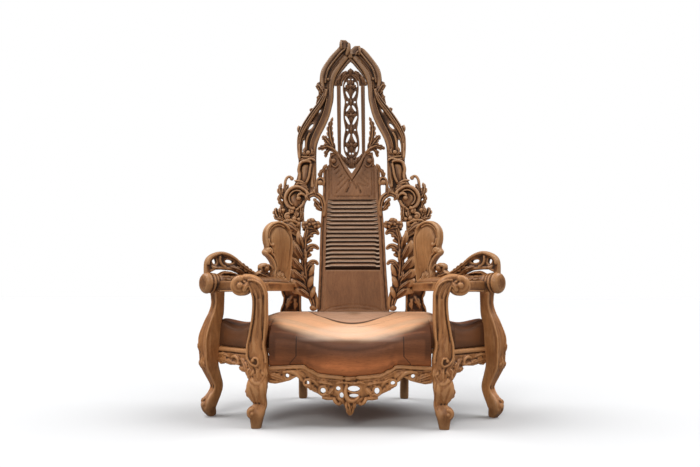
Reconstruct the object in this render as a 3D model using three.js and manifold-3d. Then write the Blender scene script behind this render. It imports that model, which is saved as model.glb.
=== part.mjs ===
// A carved wooden throne on six legs, with a tall pointed back, in millimetres.
// X runs to the right as seen from the front, the front faces -Y, and +Z is up.
// While it is built, Y = 0 is the plane of the two front legs. The finished group is
// moved so that its origin is at the middle of its footprint, on the floor.
// Every side piece is made for the right-hand side, then mirrored for the left.

import * as THREE from 'three';
import { mergeVertices } from 'three/addons/utils/BufferGeometryUtils.js';
import Module from 'manifold-3d';

// ---- Driving dimensions ----------------------------------------------------

const GAP = 0.35;                  // clearance left between two touching pieces
const GROWTH = 0.7;                // how far a cutter's corners are pushed out
const PLAINNESS = 2.5;             // carving finer than this is left out of the solids

const SEAT_TOP = 482;              // height of the seat at its back edge
const SEAT_BOTTOM = 334;           // flat underside of the seat block
const SEAT_HALF = 358;             // half the seat's width between the front legs
const SEAT_BACK_Y = 668;           // back edge of the seat
const LEG_BACK_Y = 50;             // back of the front legs, where the seat is notched

const FRONT_LEG = [405, 0];        // plan position of a front leg
const OUTER_LEG = [657, 250];      // plan position of an outer leg
const REAR_POST = [333, 652];      // plan position of a rear post above the seat

const ARM_END = [715, 190];        // plan position of the middle of the arm knob's face
const ARM_TURN = -Math.PI / 4;     // the arm roll runs diagonally in plan
const ARM_AXIS_Z = 634;            // height of the arm roll's axis
const ARM_LOW = 592;               // underside of the arm board
const ARM_HIGH = 636;              // top of the arm board

const BACK_Y = 640;                // face of the back at seat height
const BACK_RAKE = 0.08;            // how far the back leans away, per unit of height
const BACK_DRIFT = -0.0125;        // how far the hand-made back leans to the left

const RIGHT_TIP = 2050;            // height of the right arch rail's carved end
const LEFT_TIP = 2088;             // the left one laps over it, and is taller

const REED_COUNT = 17;
const REED_BOTTOM = 711;
const REED_TOP = 1114;

const FRONT = new THREE.Vector3(0, -1, 0);
const OUTWARD = new THREE.Vector3(0.69, -0.72, 0).normalize();

const wasm = await Module();
wasm.setup();

// ---- Closed skins, solids and cuts --------------------------------------------

function signedVolume(geometry) {
  const place = geometry.attributes.position;
  const index = geometry.index.array;
  const [a, b, c] = [0, 1, 2].map(() => new THREE.Vector3());
  let volume = 0;
  for (let i = 0; i < index.length; i += 3) {
    a.fromBufferAttribute(place, index[i]);
    b.fromBufferAttribute(place, index[i + 1]);
    c.fromBufferAttribute(place, index[i + 2]);
    volume += a.dot(b.cross(c)) / 6;
  }
  return volume;
}

function turnedInsideOut(geometry) {
  const index = Array.from(geometry.index.array);
  for (let i = 0; i < index.length; i += 3) {
    [index[i + 1], index[i + 2]] = [index[i + 2], index[i + 1]];
  }
  const turned = geometry.clone();
  turned.setIndex(index);
  return turned;
}

// Joins a row of rings, which all have the same number of points, into a closed skin.
function skin(rings) {
  const count = rings[0].length;
  const points = rings.flat();
  const index = [];
  for (let row = 0; row < rings.length - 1; row += 1) {
    for (let k = 0; k < count; k += 1) {
      const next = (k + 1) % count;
      const [a, b] = [row * count + k, row * count + next];
      const [c, d] = [a + count, b + count];
      index.push(a, b, d, a, d, c);
    }
  }
  for (const [ring, start, flip] of [[rings[0], 0, true], [rings.at(-1), (rings.length - 1) * count, false]]) {
    const middle = points.length;
    points.push(ring.reduce((sum, p) => sum.add(p), new THREE.Vector3()).divideScalar(count));
    for (let k = 0; k < count; k += 1) {
      const [a, b] = [start + k, start + (k + 1) % count];
      index.push(...(flip ? [middle, b, a] : [middle, a, b]));
    }
  }
  const geometry = new THREE.BufferGeometry().setFromPoints(points);
  geometry.setIndex(index);
  return signedVolume(geometry) < 0 ? turnedInsideOut(geometry) : geometry;
}

// Shared vertices are merged, and triangles that merging has folded shut are dropped.
function welded(geometry) {
  const bare = geometry.clone();
  bare.deleteAttribute('normal');
  bare.deleteAttribute('uv');
  const merged = mergeVertices(bare, 1e-3);
  const kept = [];
  const index = merged.index.array;
  for (let i = 0; i < index.length; i += 3) {
    const [a, b, c] = [index[i], index[i + 1], index[i + 2]];
    if (a !== b && b !== c && c !== a) kept.push(a, b, c);
  }
  merged.setIndex(kept);
  return merged;
}

function solid(geometry) {
  const merged = welded(geometry);
  return new wasm.Manifold(new wasm.Mesh({
    numProp: 3,
    vertProperties: Float32Array.from(merged.attributes.position.array),
    triVerts: Uint32Array.from(merged.index.array),
  }));
}

function geometryOf(body) {
  const mesh = body.getMesh();
  const geometry = new THREE.BufferGeometry();
  geometry.setAttribute('position', new THREE.Float32BufferAttribute(mesh.vertProperties, 3));
  geometry.setIndex(Array.from(mesh.triVerts));
  return geometry;
}

function joined(...geometries) {
  const sum = geometries.map(solid).reduce((whole, part) => whole.add(part));
  return geometryOf(sum.simplify(PLAINNESS));
}

// The same shape a little larger all round, so that what it cuts keeps clear of it.
function grown(geometry, amount = GROWTH) {
  const bigger = welded(geometry);
  bigger.computeVertexNormals();
  const place = bigger.attributes.position;
  const normal = bigger.attributes.normal;
  for (let i = 0; i < place.count; i += 1) {
    place.setXYZ(
      i,
      place.getX(i) + normal.getX(i) * amount,
      place.getY(i) + normal.getY(i) * amount,
      place.getZ(i) + normal.getZ(i) * amount,
    );
  }
  return bigger;
}

// Cuts a shape by its neighbours and keeps the largest body that is left.
function fitted(geometry, ...neighbours) {
  let body = solid(geometry);
  for (const neighbour of neighbours) body = body.subtract(solid(grown(neighbour)));
  const bodies = body.decompose();
  const largest = bodies.reduce((best, one) => (one.volume() > best.volume() ? one : best));
  return geometryOf(largest.simplify(GAP / 2));
}

// Cuts a leg's foot off flat at the floor.
function flatFooted(geometry) {
  const floor = new THREE.BoxGeometry(2000, 2000, 100).translate(0, 0, -50);
  return geometryOf(solid(geometry).subtract(solid(floor)));
}

function mirrored(geometry) {
  const copy = geometry.clone();
  copy.scale(-1, 1, 1);
  return turnedInsideOut(copy);
}

// ---- Strands, leaves, scrolls and boards ------------------------------------------

// Sweeps a rounded section along a curve. sizeAt gives its half width and half depth.
function swept(curve, sizeAt, { steps, sides, front = FRONT, squareness = 1 }) {
  const soften = (value) => Math.sign(value) * Math.abs(value) ** squareness;
  const rings = [];
  for (let step = 0; step <= steps; step += 1) {
    const t = step / steps;
    const centre = curve.getPoint(t);
    const along = curve.getTangent(t);
    const across = new THREE.Vector3().crossVectors(along, front).normalize();
    const facing = new THREE.Vector3().crossVectors(across, along).normalize();
    const [width, depth] = sizeAt(t);
    const ring = [];
    for (let k = 0; k < sides; k += 1) {
      const angle = (2 * Math.PI * (k + 0.5)) / sides;
      ring.push(centre.clone()
        .addScaledVector(across, width * soften(Math.cos(angle)))
        .addScaledVector(facing, depth * soften(Math.sin(angle))));
    }
    rings.push(ring);
  }
  return skin(rings);
}

// A strand through rows of [x, y, z, half width, half depth].
function strand(rows, { steps = rows.length, sides = 4, ...rest } = {}) {
  const path = new THREE.CatmullRomCurve3(rows.map(([x, y, z]) => new THREE.Vector3(x, y, z)));
  const sizes = new THREE.CatmullRomCurve3(rows.map((row) => new THREE.Vector3(row[3], row[4], 0)));
  const sizeAt = (t) => sizes.getPoint(t).toArray();
  return swept(path, sizeAt, { steps, sides, ...rest });
}

// A pointed leaf with a raised midrib, through [x, y, z] points from its root to its tip.
function leaf(points, width, depth = 9, steps = 4) {
  const path = new THREE.CatmullRomCurve3(points.map((p) => new THREE.Vector3(...p)));
  const sizeAt = (t) => {
    const swell = Math.sin(Math.PI * (0.16 + 0.8 * t) ** 0.9);
    return [Math.max(2, width * swell), Math.max(2, depth * swell)];
  };
  return swept(path, sizeAt, { steps, sides: 4 });
}

// A scroll seen as a thick disc with a button at its middle.
function volute([x, y, z], radius, depth) {
  return joined(
    new THREE.CylinderGeometry(radius, radius, depth, 9).translate(x, y, z),
    new THREE.CylinderGeometry(radius * 0.38, radius * 0.44, depth + 14, 6).translate(x + radius * 0.1, y, z),
  );
}

function bead([x, y, z], radius) {
  return new THREE.SphereGeometry(radius, 5, 3).rotateX(Math.PI / 2).translate(x, y, z);
}

// A smooth line through a few [x, z] points.
function flowing(points, divisions = 2 * points.length) {
  const curve = new THREE.SplineCurve(points.map(([x, z]) => new THREE.Vector2(x, z)));
  return curve.getPoints(divisions).map((p) => [p.x, p.y]);
}

function roundHole(x, z, halfWidth, halfHeight, turn = 0) {
  const hole = new THREE.Path();
  hole.absellipse(x, z, halfWidth, halfHeight, 0, 2 * Math.PI, false, turn);
  return new THREE.Path(hole.getPoints(3).slice(0, -1));
}

// An upright board with the given [x, z] outline, between two depths.
function board(outline, frontY, backY, holes = []) {
  const shape = new THREE.Shape(outline.map(([x, z]) => new THREE.Vector2(x, z)));
  shape.holes = holes;
  const geometry = new THREE.ExtrudeGeometry(shape, { depth: backY - frontY, bevelEnabled: false });
  return geometry.rotateX(Math.PI / 2).translate(0, backY, 0);
}

// The value at x on a list of [x, value] keys, with level turns at the keys.
function between(keys, x) {
  const last = keys.findIndex(([key]) => key >= x);
  if (last === 0) return keys[0][1];
  if (last === -1) return keys.at(-1)[1];
  const [[x0, v0], [x1, v1]] = [keys[last - 1], keys[last]];
  const t = (x - x0) / (x1 - x0);
  return v0 + (v1 - v0) * t * t * (3 - 2 * t);
}

function evenly(from, to, count) {
  return Array.from({ length: count + 1 }, (_, i) => from + ((to - from) * i) / count);
}

// Stands a flat piece of the back at its place, along the raked face of the back.
function onBack(geometry) {
  const raked = welded(geometry);
  const place = raked.attributes.position;
  for (let i = 0; i < place.count; i += 1) {
    const rise = place.getZ(i) - SEAT_TOP;
    place.setY(i, place.getY(i) + BACK_Y + BACK_RAKE * rise);
  }
  return raked;
}

// The whole back leans a little to one side as it rises.
function drifted(geometry) {
  const moved = geometry.clone();
  const place = moved.attributes.position;
  for (let i = 0; i < place.count; i += 1) {
    place.setX(i, place.getX(i) + BACK_DRIFT * Math.max(0, place.getZ(i) - SEAT_TOP));
  }
  return moved;
}

// Places a piece drawn with x = 0 at the knob and negative x towards the rear post.
function onArm(geometry) {
  return geometry.rotateZ(ARM_TURN).translate(ARM_END[0], ARM_END[1], 0);
}

// ---- Seat --------------------------------------------------------------------

// Height of the lower edge of the seat's front face: a serpentine line.
const FRONT_EDGE = [[0, 219], [60, 225], [130, 232], [176, 252], [205, 271], [358, 265]];

// Height of the seat: a saddle that dips to the front between two side crowns.
function seatHeight(x, y) {
  const out = Math.min(1, Math.abs(x) / SEAT_HALF);
  const middle = between([[-15, 358], [60, 377], [150, 396], [300, 419], [450, 450], [600, SEAT_TOP]], y);
  const side = between([[-15, 410], [40, 444], [110, 469], [250, 478], [600, SEAT_TOP]], y);
  const crown = middle + (side - middle) * (1 - Math.cos(Math.PI * out)) / 2;
  const wing = between([[385, 0], [540, -46], [650, -20]], Math.abs(x));
  return crown + wing;
}

// One slice of the seat block across X: bottom, front face, rounded lip and saddle.
function seatSlice(x) {
  const reach = Math.abs(x);
  const notched = reach > SEAT_HALF + 0.2;
  const onWing = reach > 472;
  const wingFront = (reach - FRONT_LEG[0]) * 0.973;
  const front = onWing ? wingFront : (notched ? LEG_BACK_Y + 1 : -8);
  const back = reach > 345 ? Math.min(SEAT_BACK_Y, 668 - (reach - 345) * 1.05) : SEAT_BACK_Y;
  const inner = evenly(onWing ? 0.3 : 0.08, 0.94, 4).map((t) => front + (back - front) * t);
  const lip = seatHeight(x, front) - (notched ? 10 : 4);
  const low = notched ? SEAT_BOTTOM : between(FRONT_EDGE, reach);
  const rise = lip - low;
  const bulge = notched ? 0 : 1;
  const rounding = onWing ? 0.16 * (back - front) : 0;
  const ring = [
    [back, SEAT_BOTTOM],
    [front + 80, SEAT_BOTTOM],
    [front + 48, low],
    [front + 8, low],
    [front - 16 * bulge, low + 0.3 * rise],
    [front - 20 * bulge + rounding * 0.5, low + 0.7 * rise],
    [front + rounding, lip],
    ...inner.map((y) => [y, seatHeight(x, y)]),
    [back, (onWing ? seatHeight(x, back) - 50 : seatHeight(x, back))],
  ];
  return ring.map(([y, z]) => new THREE.Vector3(x, y, z));
}

function onBothSides(half) {
  return [...half.slice(1).reverse().map((x) => -x), ...half];
}

// Places across X where the seat is drawn, from its middle outwards.
const FRONT_STATIONS = [0, 70, 140, 190, 225, 300, SEAT_HALF];
const WING_STATIONS = [SEAT_HALF + 0.4, 470, 475, 550, 640];

function seatBlock() {
  return skin(onBothSides([...FRONT_STATIONS, ...WING_STATIONS]).map(seatSlice));
}

// ---- Aprons and rails -----------------------------------------------------------

// The pierced apron hangs under the seat's front face between the front legs.
function frontApron() {
  const stations = onBothSides(FRONT_STATIONS);
  const edge = stations.map((x) => [x, between(FRONT_EDGE, Math.abs(x)) - GAP]);
  const lower = [
    [358, 191], [331, 187], [300, 193], [265, 202], [238, 217], [220, 213], [207, 192], [202, 177],
    [180, 170], [167, 157], [145, 147], [123, 134], [123, 122], [100, 117], [62, 118], [61, 101],
    [47, 92], [31, 102], [19, 88], [17, 66], [6, 52],
  ];
  const left = [...lower].reverse().map(([x, z]) => [-x, z]);
  const holes = [
    roundHole(-278, 222, 9, 9), roundHole(278, 222, 9, 9), roundHole(-189, 192, 10, 9),
    roundHole(189, 192, 10, 9), roundHole(-119, 158, 12, 12), roundHole(119, 158, 11, 15),
    roundHole(-52, 167, 10, 10), roundHole(17, 166, 26, 13), roundHole(-37, 138, 9, 13),
    roundHole(16, 136, 20, 9),
  ];
  const moulding = stations.map((x) => [x * 0.98, -10, between(FRONT_EDGE, Math.abs(x)) - 12, 9, 9]);
  return joined(
    board([...edge, ...lower, ...left], -6, 20, holes),
    strand(moulding, { steps: 12 }),
    leaf([[0, -8, 150], [0, -14, 100], [0, -8, 56]], 17, 12),
    leaf([[-205, -8, 195], [-255, -12, 222], [-330, -8, 215]], 12, 8, 3),
    leaf([[205, -8, 195], [255, -12, 222], [330, -8, 215]], 12, 8, 3),
  );
}

// A carved apron under the seat's wing, from a front leg to an outer leg.
function wingApron() {
  const outline = [
    [54, SEAT_BOTTOM - GAP], [54, 205], [66, 196], [78, 206], [92, 226], [123, 229], [148, 240],
    [141, 257], [165, 262], [181, 253], [225, 249], [266, 253], [284, 259], [308, 245], [345, 262],
    [345, SEAT_BOTTOM - GAP],
  ];
  const turn = Math.atan2(OUTER_LEG[1] - FRONT_LEG[1], OUTER_LEG[0] - FRONT_LEG[0]);
  const apron = joined(
    board(outline, -6, 18),
    strand([[56, -8, 324, 8, 8], [200, -8, 322, 8, 8], [343, -8, 320, 8, 8]], { steps: 3 }),
    leaf([[300, -8, 262], [230, -13, 282], [150, -8, 268]], 12, 9, 3),
    leaf([[72, -8, 206], [84, -14, 250], [120, -8, 290]], 14, 10, 3),
  );
  return apron.rotateZ(turn).translate(FRONT_LEG[0], FRONT_LEG[1], 0);
}

// A plain rail under the seat, arched along its lower edge.
function plainRail(from, to, lowest) {
  const length = Math.hypot(to[0] - from[0], to[1] - from[1]);
  const lower = evenly(0, 1, 5).map((t) => [t * length, lowest + 16 * Math.sin(Math.PI * t)]);
  const outline = [...lower, [length, SEAT_BOTTOM - GAP], [0, SEAT_BOTTOM - GAP]];
  const turn = Math.atan2(to[1] - from[1], to[0] - from[0]);
  return board(outline, -12, 12).rotateZ(turn).translate(from[0], from[1], 0);
}

// ---- Legs and posts ---------------------------------------------------------------

// Rows of [height, inner edge, outer edge, middle depth, half depth] up a front leg.
const FRONT_LEG_ROWS = [
  [-12, 387, 424, -12, 21], [14, 382, 435, -14, 27], [40, 376, 447, -18, 31], [62, 372, 448, -18, 31],
  [80, 369, 436, -10, 27], [97, 368, 422, 0, 25], [118, 367, 430, -4, 27], [142, 365, 446, -12, 33],
  [168, 363, 455, -18, 40], [190, 361, 451, -16, 42], [210, 360, 441, -10, 43], [242, 360, 437, -6, 43],
  [280, 360, 449, -6, 44], [312, 364, 459, -6, 45], [356, 373, 455, -4, 45], [400, 371, 447, 0, 45],
  [466, 368, 436, 0, 44], [520, 369, 431, 0, 44], [560, 370, 432, 0, 43],
];

// The front leg rises into the arm support, which curls outwards to a scroll.
function frontLeg() {
  const post = strand(
    FRONT_LEG_ROWS.map(([z, inner, outer, y, depth]) => [(inner + outer) / 2, y, z, (outer - inner) / 2, depth]),
    { steps: 12, sides: 8, squareness: 0.55 },
  );
  const arch = strand([
    [401, 0, 545, 31, 43], [405, 0, 585, 33, 43], [421, 0, 622, 33, 42], [448, 0, 641, 30, 41],
    [482, 0, 640, 27, 40], [502, 0, 625, 20, 39],
  ], { steps: 5, sides: 8, squareness: 0.55 });
  return flatFooted(joined(
    post,
    arch,
    volute([487, 0, 620], 46, 80),
    // fluted moulding up the face
    strand([[432, -46, 300, 9, 7], [424, -46, 420, 9, 7], [403, -45, 520, 9, 7], [410, -44, 592, 8, 7],
      [452, -42, 640, 7, 6]], { steps: 5 }),
    // the knee leaf and the toe scroll
    leaf([[408, -40, 285], [410, -58, 225], [406, -46, 150]], 30, 14),
    new THREE.CylinderGeometry(16, 18, 56, 7).translate(430, -22, 58),
  ));
}

// Rows of [height, middle, half width] up an outer leg, which faces out diagonally.
const OUTER_LEG_ROWS = [
  [-12, 669, 21], [14, 674, 27], [48, 684, 39], [78, 673, 36], [105, 661, 32], [141, 653, 30],
  [190, 667, 36], [241, 682, 43], [296, 684, 47], [371, 684, 52], [444, 672, 43], [490, 660, 36],
  [536, 655, 31], [610, 657, 36],
];

function outerLeg(arm) {
  const offset = OUTER_LEG[0];
  const post = strand(
    OUTER_LEG_ROWS.map(([z, x, half]) => [x, OUTER_LEG[1] - (x - offset), z, half * 0.8, half * 0.8]),
    { steps: 12, sides: 8, squareness: 0.55, front: OUTWARD },
  );
  const carved = joined(
    post,
    leaf([[712, 196, 340], [722, 186, 310], [716, 190, 288]], 12, 10, 3),
    leaf([[700, 205, 250], [712, 190, 215], [690, 212, 150]], 20, 10),
  );
  return flatFooted(fitted(carved, arm));
}

// The rear post, from the floor to the collar that carries the arch rail.
function rearPost() {
  return flatFooted(strand([
    [281, 723, -12, 21, 21], [282, 720, 20, 24, 24], [284, 704, 140, 24, 26], [292, 678, 290, 29, 31],
    [312, 660, 400, 40, 33], [333, 652, 445, 54, 33], [345, 650, 482, 60, 33], [340, 650, 520, 52, 32],
    [338, 650, 560, 49, 31], [345, 651, 592, 56, 30], [342, 653, 612, 49, 29], [REAR_POST[0], 659, 642, 31, 28],
    [REAR_POST[0], 664, 680, 27, 26], [REAR_POST[0], 673, 800, 26, 25], [331, 684, 915, 26, 25],
    [334, 687, 945, 37, 31], [337, 690, 985, 39, 31],
  ], { steps: 16, sides: 8, squareness: 0.55 }));
}

// ---- Arms -------------------------------------------------------------------------

// Rows of [half thickness, distance from the knob's face] along the arm roll.
const ARM_ROLL = [
  [0, -4], [28, -4], [45, 5], [53, 24], [50, 40], [45, 45], [50, 53], [45, 62], [42, 250], [31, 565],
  [0, 565],
];

function arm(leg, post) {
  const plan = new THREE.Shape([[378, 47], [486, 47], [672, 236], [345, 570], [318, 640]]
    .map(([x, y]) => new THREE.Vector2(x, y)));
  const rest = new THREE.ExtrudeGeometry(plan, { depth: ARM_HIGH - ARM_LOW, bevelEnabled: false })
    .translate(0, 0, ARM_LOW);
  const profile = ARM_ROLL.map(([radius, along]) => new THREE.Vector2(radius, along));
  const roll = onArm(new THREE.LatheGeometry(profile, 10).rotateZ(Math.PI / 2).translate(0, 0, ARM_AXIS_Z));
  return fitted(joined(rest, roll), leg, post);
}

// A pierced arch that stands on the arm roll and ends in a scroll against the wing.
function armCrest(armPiece) {
  const outer = flowing([
    [-6, 664], [-5, 721], [-14, 752], [-34, 770], [-61, 784], [-89, 792], [-118, 789], [-147, 780],
    [-182, 761], [-213, 732], [-243, 706], [-268, 693], [-292, 689], [-318, 694], [-330, 706],
  ], 17);
  const lower = [
    [-392, 690], [-396, 655], [-215, 655], [-200, 682], [-160, 697], [-102, 700], [-60, 699],
    [-30, 690], [-22, 664],
  ];
  const holes = [roundHole(-54, 740, 11, 18, -0.5), roundHole(-142, 738, 24, 9)];
  const crest = joined(
    board([...outer, ...lower], -17, 17, holes),
    new THREE.CylinderGeometry(27, 27, 40, 8).translate(-352, 0, 714),
    new THREE.CylinderGeometry(10, 12, 50, 6).translate(-352, 0, 714),
  );
  return fitted(onArm(crest), armPiece);
}

// A cartouche-shaped board that stands on the rear of the arm.
function backWing(armPiece, post, crest) {
  const outline = flowing([
    [-408, 630], [-418, 652], [-410, 679], [-419, 711], [-409, 746], [-385, 774], [-360, 788],
    [-352, 803], [-366, 824], [-356, 850], [-351, 880], [-355, 915], [-371, 940], [-396, 961],
    [-424, 971], [-456, 970], [-488, 956], [-514, 932],
  ], 20);
  const edge = strand([
    [-366, -6, 836, 6, 7], [-364, -6, 880, 7, 8], [-372, -6, 920, 7, 8], [-398, -6, 946, 7, 8],
    [-430, -6, 957, 7, 8], [-462, -6, 955, 7, 8], [-490, -6, 938, 6, 7],
  ], { steps: 5 });
  const hollow = strand([
    [-376, -6, 806, 8, 9], [-402, -6, 798, 8, 9], [-426, -6, 768, 7, 8], [-436, -6, 725, 7, 8],
    [-432, -6, 680, 7, 8], [-448, -6, 650, 6, 8],
  ], { steps: 5 });
  const wing = joined(
    board([...outline, [-524, 871], [-522, 800], [-516, 720], [-510, 630]], -4, 30),
    edge,
    hollow,
    bead([-373, -4, 806], 19),
    leaf([[-455, -4, 648], [-450, -12, 672], [-462, -6, 700]], 14, 9),
  );
  return fitted(onArm(wing), armPiece, post, crest);
}

// ---- Arch rails ---------------------------------------------------------------------

// The tall rail from the shoulder to the point: an inner roll, an outer acanthus strand
// that winds round it, and scrolls and leaves at the shoulder.
function archRail(tip) {
  const outer = flowing([
    [398, 986], [404, 1030], [396, 1090], [384, 1130], [352, 1180], [330, 1205], [314, 1250],
    [307, 1309], [309, 1391], [312, 1447], [306, 1505], [284, 1550], [246, 1612], [214, 1668],
    [192, 1725], [186, 1780], [192, 1840], [172, 1905], [128, 1972], [64, 2038],
  ], 22);
  const inner = [
    [0.4, 1962], ...flowing([
      [12, 1946], [60, 1888], [88, 1845], [100, 1798], [104, 1720], [122, 1650], [146, 1580],
      [178, 1510], [200, 1445], [205, 1391], [205, 1300], [206, 1240], [217, 1186], [236, 1146],
      [262, 1110], [273, 1080], [277, 1030], [274, 986],
    ], 19),
  ];
  const head = [[58, tip - 22], [50, tip - 2], [20, tip - 4], [0.4, tip - 26]];
  const holes = [roundHole(278, 1428, 8, 38, 0.06), roundHole(236, 1548, 9, 23, 0.7)];
  const rail = [
    board([...outer, ...head, ...inner], -8, 34, holes),
    // inner roll and the two ogee mouldings of the head
    strand([
      [222, -12, 1362, 13, 14], [226, -12, 1430, 13, 14], [206, -12, 1495, 13, 14], [176, -12, 1552, 13, 14],
      [153, -12, 1615, 14, 14], [138, -12, 1680, 14, 14], [136, -12, 1760, 14, 14], [136, -12, 1835, 13, 14],
      [112, -12, 1905, 13, 14], [70, -12, 1965, 13, 14], [30, -12, 2010, 11, 12],
    ], { steps: 10 }),
    strand([
      [170, -12, 1800, 11, 12], [172, -12, 1850, 11, 12], [150, -12, 1915, 11, 12], [108, -12, 1975, 11, 12],
      [52, -12, 2036, 10, 11],
    ], { steps: 5 }),
    // outer acanthus strand
    strand([
      [296, -14, 1368, 9, 12], [301, -18, 1430, 9, 13], [292, -22, 1495, 11, 14], [264, -24, 1556, 12, 14],
      [232, -22, 1612, 12, 14], [206, -18, 1665, 12, 14], [184, -14, 1728, 12, 12], [176, -12, 1778, 11, 12],
    ], { steps: 7 }),
    leaf([[182, -4, 1745], [198, -8, 1765], [199, -6, 1800]], 13, 9, 3),
    leaf([[215, -4, 1640], [232, -6, 1652], [233, -4, 1674]], 9, 7, 2),
    bead([300, 0, 1528], 15),
    bead([246, -16, 1380], 13),
    // collar and the big C-scroll over the shoulder
    strand([[212, -10, 1344, 8, 10], [256, -16, 1350, 8, 12], [300, -10, 1344, 8, 10]], { steps: 2 }),
    strand([
      [256, -10, 1142, 9, 12], [272, -14, 1166, 10, 13], [306, -16, 1184, 10, 14], [346, -14, 1174, 10, 14],
      [370, -12, 1144, 10, 14], [374, -12, 1110, 10, 14], [358, -12, 1078, 9, 13], [334, -12, 1064, 9, 12],
    ], { steps: 7 }),
    bead([342, -12, 1044], 17),
    // the hooked sprig outside the C-scroll
    strand([
      [384, 4, 1120, 9, 10], [384, 2, 1165, 8, 9], [381, 2, 1215, 8, 9], [376, 2, 1240, 8, 9],
      [358, 2, 1250, 8, 9], [343, 2, 1240, 9, 10],
    ], { steps: 5 }),
    leaf([[386, 2, 1128], [408, -2, 1165], [410, 2, 1212]], 12, 8),
    // leaves and berries at the foot
    leaf([[396, 0, 990], [430, -6, 1015], [436, 0, 1064]], 17, 12, 3),
    leaf([[380, -8, 988], [408, -14, 1004], [446, -6, 1004]], 13, 10, 3),
    bead([366, -14, 1010], 17),
    leaf([[300, -10, 990], [290, -16, 1020], [300, -10, 1060]], 14, 10, 3),
  ];
  return onBack(joined(...rail));
}

// ---- Splat -----------------------------------------------------------------------------

function splatStile() {
  const outline = [[199, SEAT_TOP + GAP], [187, 708], [180, 949], [166, 1145], [161, 1292],
    [139.6, 1292], [141, 1114], [151, 949], [156.4, 708], [166, SEAT_TOP + GAP]];
  return onBack(board(outline, -16, 16));
}

function lowerPanel() {
  const outline = [[-165, SEAT_TOP + GAP], [165, SEAT_TOP + GAP], [156, REED_BOTTOM - GAP], [-156, REED_BOTTOM - GAP]];
  return onBack(board(outline, -8, 10));
}

// Rounded reeds that run across the splat, carved from one board with flat grooves.
function reededPanel() {
  const pitch = (REED_TOP - REED_BOTTOM) / REED_COUNT;
  const profile = [];
  for (let reed = 0; reed < REED_COUNT; reed += 1) {
    const low = REED_BOTTOM + reed * pitch;
    profile.push([0, low + 0.18 * pitch], [-10, low + 0.4 * pitch], [-10, low + 0.78 * pitch],
      [0, low + 0.98 * pitch]);
  }
  const section = [[10, REED_BOTTOM + GAP], [0, REED_BOTTOM + GAP], ...profile, [0, REED_TOP - GAP],
    [10, REED_TOP - GAP]];
  const shape = new THREE.Shape(section.map(([y, z]) => new THREE.Vector2(y, z)));
  const across = new THREE.Matrix4().makeBasis(
    new THREE.Vector3(0, 1, 0),
    new THREE.Vector3(0, 0, 1),
    new THREE.Vector3(1, 0, 0),
  );
  const reeds = new THREE.ExtrudeGeometry(shape, { depth: 2, bevelEnabled: false }).applyMatrix4(across);
  const corners = reeds.attributes.position;
  for (let i = 0; i < corners.count; i += 1) {
    const halfWidth = 156 - (15 * (corners.getZ(i) - REED_BOTTOM)) / (REED_TOP - REED_BOTTOM) - GAP;
    corners.setX(i, (corners.getX(i) - 1) * halfWidth);
  }
  return onBack(reeds);
}

// The engraved board at the head of the splat, with its V-shaped top and two volutes.
function topPanel() {
  const half = [[139, REED_TOP + GAP], [138.8, 1292 + GAP], [146, 1293], [140, 1312], [127, 1322],
    [124, 1392], [92, 1394], [66, 1366], [0, 1262]];
  const left = half.slice(0, -1).reverse().map(([x, z]) => [-x, z]);
  return onBack(joined(
    board([...half, ...left], -10, 12),
    volute([98, -10, 1338], 19, 20),
    volute([-98, -10, 1338], 19, 20),
    strand([[78, -12, 1372, 8, 6], [0, -14, 1240, 8, 6], [-62, -12, 1172, 7, 5]], { steps: 2 }),
    strand([[-78, -12, 1372, 8, 6], [0, -13, 1240, 8, 6], [62, -12, 1172, 7, 5]], { steps: 2 }),
  ));
}

// ---- Lancet window ------------------------------------------------------------------

function lancetBar() {
  return onBack(board([[60, 1360], [79, 1360], [83, 1800], [59, 1800]], -10, 10));
}

function lancetHead() {
  const half = [[0, 1910], [14, 1906], [18, 1892], [46, 1890], [80, 1850], [96, 1812], [96, 1800.5],
    [50, 1800.5], [46, 1828], [30, 1850], [10, 1862]];
  const left = half.slice(1).reverse().map(([x, z]) => [-x, z]);
  return onBack(board([...half, ...left], -9, 10));
}

// Three linked ovals with a flower in each, and a carved drop below.
function medallionStrip() {
  const ring = (z, halfWidth, halfHeight) => {
    const points = evenly(0, 1, 10).slice(0, -1).map((t) => [
      halfWidth * Math.cos(2 * Math.PI * t), z + halfHeight * Math.sin(2 * Math.PI * t),
    ]);
    const hole = new THREE.Path(points.map(([x, y]) => new THREE.Vector2(x * 0.8, z + (y - z) * 0.87)));
    return board(points, -7, 5, [hole]);
  };
  const flower = (z, reach) => board([
    [-7, z - reach], [7, z - reach], [17, z - 0.35 * reach], [40, z - 8], [40, z + 6], [16, z + 0.25 * reach],
    [7, z + reach], [-7, z + reach], [-16, z + 0.25 * reach], [-40, z + 6], [-40, z - 8], [-17, z - 0.35 * reach],
  ], -9, 3);
  const crossing = (z) => board([
    [-38, z - 7], [-12, z - 8], [-8, z - 24], [8, z - 24], [12, z - 8], [38, z - 7], [38, z + 7],
    [12, z + 8], [8, z + 24], [-8, z + 24], [-12, z + 8], [-38, z + 7],
  ], -9, 4);
  const ovals = [[1782, 48, 84], [1610, 44, 92], [1436, 48, 90]];
  return onBack(joined(
    ...ovals.flatMap(([z, halfWidth, halfHeight]) => [ring(z, halfWidth, halfHeight), flower(z, halfHeight - 4)]),
    crossing(1696),
    crossing(1524),
    board([[-56, 1372], [0, 1268], [56, 1372], [20, 1378], [-20, 1378]], -8, 6),
  ));
}

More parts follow.
